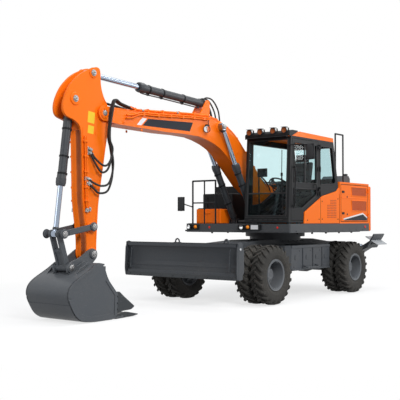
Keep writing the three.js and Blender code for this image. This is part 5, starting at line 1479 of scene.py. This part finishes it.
def deck_details():
    edge = Shape()
    edge.block(1.42, 1.426, -1.2, 1.2, 1.262, 1.29)
    for k in range(9):
        bolt(edge, (1.426, -1.1 + 0.27 * k, 1.276), (1, 0, 0), 0.009, 0.006)
    for k in range(10):
        for hand in (1, -1):
            bolt(edge, (-1.5 + 0.3 * k, hand * 1.215, 1.28), (0, hand, 0), 0.009, 0.006)
    make("deck_edge_bolts", edge, DARK, SWING, 0.001, segments=1)
    lamp = Shape()
    lamp.block(1.42, 1.47, 0.1, 0.6, 1.3, 1.4)
    lamp.block(1.42, 1.45, -1.13, -0.85, 1.3, 1.4)
    make("front_lamp_brackets", lamp, BLACK, SWING, 0.006)
    for label, y in (("left", 0.2), ("right", -1.06)):
        work_lamp("deck_lamp_" + label, GROUND, (1.49, y, 1.35), (1, 0.05, 0), SWING, 0.042, 0.03)
    ambers = Shape()
    for y in (0.33, -0.92):
        dome = [(0, 0), (0.034, 0), (0.032, 0.014), (0.02, 0.024), (0, 0.026)]
        ambers.turned(dome, (1.45 if y < 0 else 1.47, y, 1.35), (1, 0, 0), 28)
    make("deck_indicators", ambers, AMBER, SWING, sharp=50)
    plate = Shape()
    plate.block(1.47, 1.473, 0.4, 0.56, 1.31, 1.39)
    make("deck_white_plate", plate, WHITE_PLATE, SWING)
    dot = Shape()
    for y in (0.95, -0.6):
        dot.turned([(0, 0), (0.022, 0), (0.02, 0.006), (0, 0.007)], (1.42, y, 1.345), (1, 0, 0), 24)
    make("deck_reflectors", dot, RED, SWING, sharp=50)
    treads = Shape(GROUND)
    for k in range(3):
        treads.block(1.01, 1.05, -1.16 + 0.05 * k, -1.13 + 0.05 * k, 1.415, 1.421)
    tread_rows = Shape(FREE)
    tread_rows.add(repeated(treads, 7, (0.055, 0, 0), DARK))
    make("deck_treads", tread_rows, DARK, SWING, 0.001, segments=1)


def right_side_details():
    top = Shape()
    top.prism(eased([(0.96, -1.0), (1.29, -1.0), (1.29, -0.435), (0.96, -0.435)], 0.03, 4), 1.7, 1.712, "XY")
    top.block(0.98, 1.27, -0.98, -0.46, 1.708, 1.718)
    make("toolbox_top", top, BLACK, SWING, 0.003)
    front = Shape()
    front.block(1.3, 1.306, -0.99, -0.45, 1.44, 1.68)
    for y in (-0.96, -0.48):
        front.turned([(0, 0), (0.012, 0), (0.011, 0.006), (0, 0.007)], (1.306, y, 1.56), (1, 0, 0), 20)
    front.tube(
        [(1.305, -0.77, 1.62), (1.33, -0.77, 1.62), (1.33, -0.67, 1.62), (1.305, -0.67, 1.62)], 0.007, 10
    )
    make("toolbox_door", front, ORANGE, SWING, 0.002)
    fuel = Shape()
    fuel.turned(
        [(0, 0), (0.06, 0), (0.06, 0.025), (0.052, 0.04), (0, 0.042)], (0.62, -0.95, 2.015), (0, 0, 1), 32
    )
    for k in range(5):
        fuel.block(-0.15 + 0.1 * k, -0.1 + 0.1 * k, -1.15, -0.5, 2.175, 2.182)
    fuel.block(0.845, 0.855, -1.15, -0.5, 1.5, 1.52)
    for y in (-1.1, -0.55):
        fuel.block(0.85, 0.862, y - 0.03, y + 0.03, 1.55, 1.95)
    make("tank_fittings", fuel, BLACK, SWING, 0.003)


hood_details()
tail_details()
deck_details()
right_side_details()

# ---------------------------------------------------------------- blade, chassis and stabilisers
BLADE_HALF = 1.245


def dress_blade():
    body = "blade_body"
    bands = Shape()
    for x, low, high in ((3.081, 1.03, 1.085), (3.079, 0.7, 0.712)):
        bands.block(3.073, x, -1.2, 1.2, low, high)
    bands.prism([(3.073, 0.5), (3.092, 0.5), (3.084, 0.6), (3.073, 0.61)], -1.2, 1.2)
    make("blade_bands", bands, BLADE, body, 0.003, segments=1)
    edge = Shape()
    edge.prism([(3.05, 0.493), (3.098, 0.493), (3.09, 0.56), (3.05, 0.56)], -1.235, 1.235)
    for k in range(10):
        bolt(edge, (3.092, -1.13 + 0.25 * k, 0.53), (1, 0, 0.1), 0.014, 0.01)
    make("blade_cutting_edge", edge, EDGE_STEEL, body, 0.002, segments=1)
    eyes = Shape()
    for y in (-0.1, 0.95):
        loop = [(3.0, y + 0.042 * c, 1.11 + 0.05 * s) for c, s in circle(18)[:10]]
        eyes.tube([(3.0, y + 0.042, 1.08)] + loop + [(3.0, y - 0.042, 1.08)], 0.013, 12, False)
        eyes.block(2.975, 3.025, y - 0.07, y + 0.07, 1.08, 1.102)
    for hand in (1, -1):
        y = hand * (BLADE_HALF - 0.002)
        side = [(2.95, 0.5), (3.1, 0.5), (3.12, 0.62), (3.1, 1.0), (3.06, 1.1), (2.95, 1.1)]
        eyes.prism(eased(side, 0.02, 3), y, y - hand * 0.02)
        gusset = [(3.08, 0.62), (3.13, 0.64), (3.1, 0.98), (3.08, 1.0)]
        eyes.prism(gusset, y - hand * 0.16, y - hand * 0.145)
    make("blade_eyes_and_ends", eyes, BLADE, body, 0.003, segments=1)
    ribs = Shape()
    for y in (-1.0, -0.75, -0.5, 0.5, 0.75, 1.0):
        ribs.prism([(2.955, 0.52), (2.915, 0.6), (2.915, 0.98), (2.955, 1.06)], y - 0.01, y + 0.01)
    ribs.block(2.93, 2.957, -1.2, 1.2, 0.78, 0.82)
    make("blade_back_ribs", ribs, BLADE, body, 0.003, segments=1)
    for label, hand in SIDES:
        pin = Shape()
        pin.turned(
            [(0, 0), (0.02, 0), (0.018, 0.01), (0, 0.012)], (3.02, hand * (BLADE_HALF - 0.002), 1.0),
            (0, hand, 0), 24
        )
        make("blade_end_pin_" + label, pin, WHITE_PLATE, body, sharp=50)


STEP_FACE = 0.96
STEP_LOW = 0.534
STEP_TOP = 1.004


def dress_chassis():
    body = "undercarriage"
    steps = Shape()
    for hand in (1, -1):
        face = hand * STEP_FACE
        out = (face, face + hand * 0.014)
        for low, high in ((STEP_TOP - 0.05, STEP_TOP), (STEP_LOW, STEP_LOW + 0.03)):
            steps.block(-0.51, 0.95, *out, low, high)
        for x in (-0.2, 0.16, 0.54):
            steps.block(x - 0.006, x + 0.006, *out, STEP_LOW + 0.03, STEP_TOP - 0.05)
        for x in (-0.36, -0.02, 0.35, 0.76):
            lid = [(x - 0.07, 0.73), (x + 0.07, 0.73), (x + 0.07, 0.82), (x - 0.07, 0.82)]
            steps.prism(eased(lid, 0.02, 3), face, face + hand * 0.008)
            for spot in ((x - 0.1, face, 0.9), (x + 0.1, face, 0.6)):
                bolt(steps, spot, (0, hand, 0), 0.011, 0.008)
        out = face + hand * 0.09
        rung = [(0.05, face, 0.62), (0.05, out, 0.585), (0.52, out, 0.585), (0.52, face, 0.62)]
        steps.tube(rung, 0.014, 12, False)
    make("chassis_steps", steps, CHASSIS, body, 0.002, segments=1)
    grip = Shape(GROUND)
    for low, high in ((0.4, 0.93), (-0.93, -0.4)):
        grip.block(-0.48, -0.45, low, high, STEP_TOP, STEP_TOP + 0.004)
    strips = Shape(FREE)
    strips.add(repeated(grip, 22, (0.062, 0, 0), DARK))
    make("chassis_step_treads", strips, DARK, body, 0.001, segments=1)
    drains = Shape()
    for k in range(5):
        x = -1.4 + 0.55 * k
        for y in (1.0, -1.0):
            drains.rod((x, y, 1.25), (x, y, 1.215), 0.02, 20)
    drains.block(-1.6, -0.9, 0.6, 1.1, 1.236, 1.25)
    drains.block(-0.7, -0.2, 0.6, 1.1, 1.238, 1.25)
    make("deck_under_covers", drains, BLACK, SWING, 0.002, segments=1)
    ring = Shape()
    for c, s in circle(30):
        bolt(ring, (0.56 * c, 0.56 * s, 1.068), (0, 0, 1), 0.014, 0.012)
    make("swing_ring_bolts", ring, BLACK, body, segments=1)


def dress_stabilisers():
    for label, hand in SIDES:
        lean = math.radians(31)
        along_pad = (0, hand * math.cos(lean), -math.sin(lean))
        pad = Shape(GROUND @ frame_at((-2.19, hand * 1.18, 1.03), (1, 0, 0), along_pad))
        outline = [(-0.25, -0.17), (0.25, -0.17), (0.25, 0.17), (-0.25, 0.17)]
        pad.prism(eased(outline, 0.04, 3), 0.016, 0.024, "XY")
        for k in range(5):
            pad.block(-0.212 + 0.1 * k, -0.188 + 0.1 * k, -0.15, 0.15, 0.022, 0.034)
        make(
            "stabiliser_pad_" + label, pad, LIGHT_GREY_PAD, "stabiliser_leg_" + label + "_body", 0.002, segments=1
        )


dress_blade()
dress_chassis()
dress_stabilisers()

# ---------------------------------------------------------------- cab
def front_x(z):
    """Where the leaning windscreen stands at a height."""
    return 1.447 - 0.0598 * (z - 1.437)


def rear_x(z):
    return -0.446 + 0.2193 * (z - 2.134)


def pane(name, place_x, bottom, top, y0, y1, thick, glass_node, material):
    """Leaning glass sheet across the cab, between two heights."""
    shape = Shape()
    spots = ((y0, bottom), (y1, bottom), (y1, top), (y0, top))
    flat = [Vector((place_x(z), y, z)) for y, z in spots]
    normal = (flat[1] - flat[0]).cross(flat[2] - flat[0]).normalized() * thick
    shape.loft([shape.ring(flat), shape.ring(p + normal for p in flat)], capped=True)
    make(name, shape, material, SWING, 0.0, (glass_node,), 30.0)


def side_pane(name, outline, y, glass_node, body):
    shape = Shape()
    shape.prism(eased(outline, 0.04, 4), y, y + 0.006)
    make(name, shape, CLEAR, body, 0.0, (glass_node,), 30.0)


def seal(name, outline, y, body, hand=1):
    """Black rubber frame round a side window."""
    curve = eased(outline, 0.045, 4)
    rubber = Shape()
    points = [(x, y + hand * 0.004, z) for x, z in curve]
    rubber.tube(points + [points[0]], 0.009, 8, False, 1)
    make(name, rubber, PLASTIC, body, sharp=60)


DOOR_UPPER = [(1.252, 2.17), (1.243, 2.9), (0.425, 2.9), (0.425, 2.17)]
DOOR_LOWER = [(1.285, 1.7), (1.262, 2.06), (0.425, 2.06), (0.425, 1.966), (0.93, 1.722), (0.965, 1.7)]
ROOF_LAMPS = (0.34, 0.58, 0.86, 1.1)
QUARTER = [(0.285, 2.16), (0.285, 2.9), (-0.19, 2.9), (-0.33, 2.2)]
RIGHT_SIDE = [(1.25, 1.75), (1.21, 2.92), (-0.14, 2.92), (-0.28, 2.24), (0.25, 2.12), (0.9, 1.79)]


def glaze():
    low, split, high = 1.56, 1.97, 2.95
    side, other = 0.3, 1.14

    def screen_x(z):
        return front_x(z) - 0.03

    pane("windscreen_upper", screen_x, split + 0.01, high, side, other, -0.006, "windshield", CLEAR)
    pane("windscreen_lower", screen_x, low, split - 0.01, side, other, -0.006, "windshield", TINTED)
    pane("rear_pane", lambda z: rear_x(z) + 0.02, 2.3, 2.9, 0.33, 1.1, 0.006, "rear_glass", TINTED)
    for name, outline, inside, outside, glass_node, body, hand in (
        ("quarter_", QUARTER, 1.168, 1.198, "quarter_glass", SWING, 1),
        ("right_", RIGHT_SIDE, 0.262, 0.242, "right_glass", SWING, -1),
    ):
        side_pane(name + "pane", outline, inside, glass_node, body)
        seal(name + "seal", outline, outside, body, hand)
    for name, outline in (("upper", DOOR_UPPER), ("lower", DOOR_LOWER)):
        side_pane("door_pane_" + name, outline, 1.172, "door_glass", "cab_door_body")
        seal("door_seal_" + name, outline, 1.198, "cab_door_body")
    rubber = Shape()
    for y in (side, other):
        rubber.rod((front_x(low) + 0.004, y, low), (front_x(high) + 0.004, y, high), 0.012, 10)
    for z, radius in ((low, 0.012), (split, 0.016), (high, 0.012)):
        rubber.rod((front_x(z) + 0.004, side, z), (front_x(z) + 0.004, other, z), radius, 10)
    make("windscreen_seal", rubber, PLASTIC, SWING, sharp=60)
    slider = Shape()
    slider.block(0.822, 0.852, 1.176, 1.192, 2.17, 2.9)
    slider.block(0.79, 0.822, 1.178, 1.19, 2.5, 2.6)
    make("door_slider", slider, PLASTIC, "cab_door_body", 0.003, segments=1)


def cab_trim():
    wiper = Shape()
    arm = ((0.03, 1.09, 1.62), (0.032, 1.08, 1.95), (0.03, 1.05, 2.3))
    rubber = ((0.02, 1.03, 1.98), (0.024, 1.04, 2.35), (0.02, 1.03, 2.76))
    for run, radius, sides in ((arm, 0.009, 10), (rubber, 0.007, 8)):
        wiper.tube([(front_x(z) + ahead, y, z) for ahead, y, z in run], radius, sides)
    hub = [(0, 0), (0.03, 0), (0.03, 0.02), (0.018, 0.035), (0, 0.035)]
    wiper.turned(hub, (front_x(1.62) + 0.002, 1.09, 1.62), (1, 0, 0), 24)
    wiper.block(front_x(2.3) + 0.012, front_x(2.3) + 0.034, 1.025, 1.06, 2.28, 2.34)
    make("wiper", wiper, BLACK, SWING, 0.001, sharp=50, segments=1)

    visor = Shape()
    visor.prism([(1.34, 3.0), (1.46, 2.985), (1.475, 2.995), (1.36, 3.03)], 0.27, 1.17)
    fascia = [(1.12, 3.1), (1.12, 3.12), (1.33, 3.12), (1.41, 3.07), (1.415, 3.01), (1.36, 3.0)]
    visor.prism(eased(fascia, 0.02, 3), 0.234, 1.206)
    for y in ROOF_LAMPS:
        visor.tube([(1.34, y, 3.1), (1.37, y, 3.15), (1.39, y, 3.13)], 0.011, 10)
        visor.prism([(1.37, 3.16), (1.47, 3.165), (1.47, 3.17), (1.37, 3.172)], y - 0.05, y + 0.05)
        visor.prism([(1.35, 3.08), (1.4, 3.08), (1.4, 3.15), (1.36, 3.16)], y + 0.058, y + 0.064)
    make("lamp_bar", visor, BLACK, SWING, 0.003, segments=1)
    for k, y in enumerate(ROOF_LAMPS, 1):
        work_lamp(
            "roof_lamp_" + str(k), GROUND, (1.43, y, 3.112), (1, 0.06, -0.12), SWING, 0.052, 0.07, SMOKED
        )
    roof = Shape()
    roof.prism(eased([(1.1, 3.1), (1.1, 3.128), (0.32, 3.128), (0.32, 3.1)], 0.02, 3), 0.42, 1.02)
    roof.block(0.42, 1.0, 0.48, 0.96, 3.12, 3.138)
    make("roof_hatch", roof, DARK, SWING, 0.008, segments=2)

    handle = Shape()
    handle.tube([(0.5, 1.2, 2.02), (0.5, 1.235, 2.04), (0.5, 1.235, 2.14), (0.5, 1.2, 2.16)], 0.009, 10)
    handle.block(0.46, 0.56, 1.2, 1.208, 2.085, 2.15)
    handle.tube(
        [(1.3, 1.2, 1.75), (1.315, 1.25, 1.78), (1.28, 1.25, 2.4), (1.262, 1.2, 2.44)], 0.012, 12, True, 5
    )
    make("door_handles", handle, BLACK, "cab_door_body", 0.001, sharp=50, segments=1)
    hinges = Shape()
    for z in (1.98, 2.45, 2.86):
        hinges.rod((0.345, 1.235, z - 0.05), (0.345, 1.235, z + 0.05), 0.016, 16)
        hinges.block(0.345, 0.41, 1.2, 1.222, z - 0.035, z + 0.035)
    make("door_hinges", hinges, BLACK, "cab_door_body", 0.002, segments=1)

    skirt = Shape()
    x = front_x(1.5) + 0.002
    for k in range(7):
        skirt.block(x, x + 0.012, 0.34 + 0.11 * k, 0.415 + 0.11 * k, 1.475, 1.5)
    skirt.block(front_x(1.53), front_x(1.53) + 0.02, 0.27, 1.17, 1.522, 1.54)
    make("cab_foot_vents", skirt, PLASTIC, SWING, 0.002, segments=1)
    slats = Shape()
    for k in range(6):
        z = 1.6 + 0.055 * k
        x = front_x(z) - 0.012
        top = 1.995 - 0.075 * k if k < 5 else 1.6
        slats.tube([(x, 0.7 + 0.07 * k, 1.575), (x - 0.004, 1.12, top)], 0.008, 8)
    make("screen_guard", slats, BLACK, SWING, sharp=60)


def steering_column():
    wheel = Shape(GROUND @ frame_at((1.005, 0.72, 2.14), heading(math.radians(128))))
    ring = [(0.012, 0.185 * c, 0.185 * s) for c, s in circle(36)]
    wheel.tube(ring + [ring[0]], 0.014, 12, False)
    for c, s in circle(3):
        wheel.tube([(0.0, 0.03 * c, 0.03 * s), (0.01, 0.18 * c, 0.18 * s)], 0.011, 10)
    wheel.turned(
        [(0, -0.03), (0.045, -0.03), (0.05, 0.0), (0.04, 0.022), (0, 0.026)], (0, 0, 0), (1, 0, 0), 32
    )
    make("steering_wheel", wheel, PLASTIC, SWING, sharp=50)
    levers = Shape()
    for side in (0.42, 1.0):
        levers.tube([(0.62, side, 2.02), (0.72, side, 2.06), (0.74, side, 2.2)], 0.012, 10)
        knob = [(0, 0), (0.022, 0), (0.03, 0.04), (0.026, 0.09), (0.012, 0.11), (0, 0.112)]
        levers.turned(knob, (0.74, side, 2.19), (0.1, 0, 1), 20)
        levers.block(0.36, 0.68, side - 0.06, side + 0.06, 1.96, 2.02)
    levers.tube([(1.1, 0.35, 1.6), (1.12, 0.35, 2.2), (1.1, 0.35, 2.34)], 0.014, 10)
    levers.block(1.05, 1.1, 0.3, 0.5, 2.3, 2.46)
    make("levers_and_screen", levers, PLASTIC, SWING, 0.006, sharp=40)


def cushion(name, place, length, width, thick, crown, channels):
    """Crowned pad: sides pull in between the corners, with sewn channels across and a piped edge."""
    shape = Shape(place)
    across, along = 26, 30


    def corner(u, v, upper):
        x = (u - 0.5) * length * (1 - 0.025 * math.sin(math.pi * v))
        y = (v - 0.5) * width * (1 - 0.03 * math.sin(math.pi * u))
        rise = (max(0.0, math.sin(math.pi * u) * math.sin(math.pi * v))) ** 0.35
        if not upper:
            return x, y, -thick / 2 * (0.5 + 0.5 * rise)
        height = thick / 2 * (0.35 + 0.65 * rise) + crown * rise
        for seam in channels:
            height -= 0.011 * math.exp(-(((u - seam) * length / 0.011) ** 2)) * min(1.0, 5 * min(v, 1 - v))
        height -= 0.008 * math.exp(-((abs(v - 0.5) - 0.3) * width / 0.012) ** 2) * rise
        return x, y, height

    rims = []
    for upper in (True, False):
        grid = []
        for i in range(along + 1):
            grid.append(shape.ring(corner(i / along, j / across, upper) for j in range(across + 1)))
        for row, after in zip(grid, grid[1:]):
            for j in range(across):
                shape.mesh.faces.new((row[j], after[j], after[j + 1], row[j + 1]))
        ends = [row[-1] for row in grid[1:]], [row[0] for row in grid[-2:0:-1]]
        rims.append(grid[0] + ends[0] + grid[-1][-2::-1] + ends[1])
    shape.loft(rims)
    item = make(name, shape, SEAT_CLOTH, SWING, 0.004, ("seat",), 60.0)


def build_seat():
    middle = 0.72
    place = GROUND @ frame_at((0.53, middle, 1.965), (0.985, 0, 0.08))
    cushion("seat_cushion", place, 0.5, 0.5, 0.12, 0.018, (0.3, 0.62))
    place = GROUND @ frame_at((0.22, middle, 2.33), (-0.18, 0, 1.0), (0, -1, 0))
    cushion("seat_back", place, 0.56, 0.48, 0.11, 0.016, (0.28, 0.5, 0.72))
    place = GROUND @ frame_at((0.125, middle, 2.69), (-0.12, 0, 1.0), (0, -1, 0))
    cushion("seat_headrest", place, 0.15, 0.28, 0.09, 0.01, ())
    base = Shape()
    foot = eased([(0.3, 1.78), (0.74, 1.78), (0.76, 1.86), (0.72, 1.91), (0.28, 1.91)], 0.03, 3)
    back = eased([(0.22, 1.92), (0.16, 2.1), (0.06, 2.6), (0.09, 2.61), (0.2, 2.12), (0.27, 1.95)], 0.02, 3)
    for outline, half in ((foot, 0.21), (back, 0.2)):
        base.prism(outline, middle - half, middle + half)
    for y in (-0.06, 0.06):
        base.rod((0.1, middle + y, 2.56), (0.115, middle + y, 2.66), 0.008, 10)
    rest = eased([(0.24, 2.12), (0.52, 2.15), (0.54, 2.19), (0.24, 2.17)], 0.02, 3)
    for y in (-0.29, 0.29):
        base.prism(rest, middle + y - 0.035, middle + y + 0.035)
    make("seat_base", base, PLASTIC, SWING, 0.005)


glaze()
cab_trim()
steering_column()
build_seat()

# ---------------------------------------------------------------- mirrors
def oval_mirror(name, centre, ahead, half_wide, half_high):
    place = GROUND @ frame_at(centre, ahead)
    shell = Shape(place)
    rim = []
    for c, s in circle(40):
        rim.append((half_wide * math.copysign(abs(c) ** 0.6, c), half_high * math.copysign(abs(s) ** 0.6, s)))
    profile = (
        (-0.028, 0.3), (-0.024, 0.75), (-0.012, 0.95), (0.0, 1.0), (0.008, 0.99), (0.009, 0.92), (0.004, 0.91)
    )
    shell.loft([shell.ring((x, y * scale, z * scale) for y, z in rim) for x, scale in profile], capped=True)
    make(name + "_shell", shell, PLASTIC, SWING, sharp=50)
    face = Shape(place)
    face.prism([(y * 0.9, z * 0.9) for y, z in rim], 0.0045, 0.0062, "YZ")
    make(name + "_face", face, MIRROR, SWING)


oval_mirror("right_mirror_head", (1.412, -1.31, 1.8035), (-1, 0.1, 0), 0.082, 0.142)
oval_mirror("left_mirror_head", (1.428, 1.64, 2.6925), (-1, -0.1, 0), 0.084, 0.142)

# ---------------------------------------------------------------- floor, light and camera

SHADOW_SHARE = 0.3  # how much of the floor's look is its real shading near the machine
FADE_START, FADE_END = 3.5, 7.0  # distances from the middle between which that share goes to nothing


def backdrop_rays(tree):
    """1 for rays that meet the plain white studio: from the camera, by gloss or through glass."""
    seen = tree.nodes.new("ShaderNodeLightPath").outputs
    direct = combine(tree, "MAXIMUM", seen["Is Camera Ray"], seen["Is Transmission Ray"])
    return combine(tree, "MAXIMUM", direct, seen["Is Glossy Ray"])


def chosen(tree, factor, first, second):
    """The second shader where the factor is 1, the first where it is 0."""
    return node(tree, "ShaderNodeMixShader", {"Fac": factor, 1: first, 2: second}).outputs["Shader"]


def floor_material():
    material = bpy.data.materials.new("pale_floor")
    material.use_nodes = True
    tree = material.node_tree
    grain = ramp(tree, noise(tree, 0.8, 3.0), 0.3, 0.7)
    colour = blend_colours(tree, grain, (0.93, 0.93, 0.93, 1), (0.95, 0.95, 0.95, 1))
    look = {"Base Color": colour, "Roughness": 0.9, "Specular IOR Level": 0.1}
    shaded = feed(tree, tree.nodes["Principled BSDF"], look)
    white = tree.nodes.new("ShaderNodeEmission")
    bounced = node(tree, "ShaderNodeBsdfDiffuse", {"Color": (0.2, 0.2, 0.21, 1)})
    spot = tree.nodes.new("ShaderNodeTexCoord").outputs["Object"]
    away = node(tree, "ShaderNodeVectorMath", {}, operation="LENGTH")
    feed(tree, away, {0: spot})
    inputs = {"Value": away.outputs["Value"], "From Min": FADE_START, "From Max": FADE_END}
    fading = node(tree, "ShaderNodeMapRange", {**inputs, "To Min": SHADOW_SHARE, "To Max": 0.0})
    seen = chosen(tree, fading.outputs["Result"], white.outputs["Emission"], shaded.outputs["BSDF"])
    result = chosen(tree, backdrop_rays(tree), bounced.outputs["BSDF"], seen)
    tree.links.new(result, tree.nodes["Material Output"].inputs["Surface"])
    return material


def lay_floor():
    shape = Shape()
    shape.block(-60, 60, -60, 60, -0.03, -0.003)
    mesh = written(shape, "studio_floor")
    mesh.materials.append(floor_material())
    shown("studio_floor", mesh)


def light_studio():
    middle = at(1.5, 0, 1.6)
    for name, place, size, power in (
        ("key_panel", at(9.0, 13.0, 9.5), (6.0, 4.0), 1560),
        ("fill_panel", at(14.0, -3.0, 5.0), (6.0, 5.0), 290),
        ("top_panel", at(0.5, 2.0, 11.0), (8.0, 5.0), 640),
        ("back_panel", at(-8.0, 9.0, 5.5), (5.0, 4.0), 380),
    ):
        data = bpy.data.lights.new(name, "AREA")
        data.shape = "RECTANGLE"
        data.size, data.size_y = size
        data.energy = power
        lamp = shown(name, data)
        lamp.location = place
        lamp.rotation_euler = (middle - place).to_track_quat("-Z", "Y").to_euler()
    world = bpy.data.worlds.new("studio")
    bpy.context.scene.world = world
    world.use_nodes = True
    tree = world.node_tree
    glow = feed(tree, tree.nodes["Background"], {"Color": (0.82, 0.86, 0.92, 1), "Strength": 0.5})
    backdrop = node(tree, "ShaderNodeBackground", {"Color": (1, 1, 1, 1), "Strength": 1.0})
    result = chosen(tree, backdrop_rays(tree), glow.outputs["Background"], backdrop.outputs["Background"])
    tree.links.new(result, tree.nodes["World Output"].inputs["Surface"])


def set_camera():
    turn, pitch = 0.6598, 0.0263
    level = math.cos(pitch)
    looking = Vector((-math.cos(turn) * level, -math.sin(turn) * level, math.sin(pitch)))
    data = bpy.data.cameras.new("viewpoint")
    data.sensor_width = 36.0
    data.lens = 70.05
    data.clip_end = 200.0
    viewpoint = shown("viewpoint", data)
    viewpoint.location = at(13.4538, 8.5056, 1.4749)
    viewpoint.rotation_euler = looking.to_track_quat("-Z", "Y").to_euler()
    bpy.context.scene.camera = viewpoint


lay_floor()
light_studio()
set_camera()
bpy.context.scene.view_settings.view_transform = "Standard"
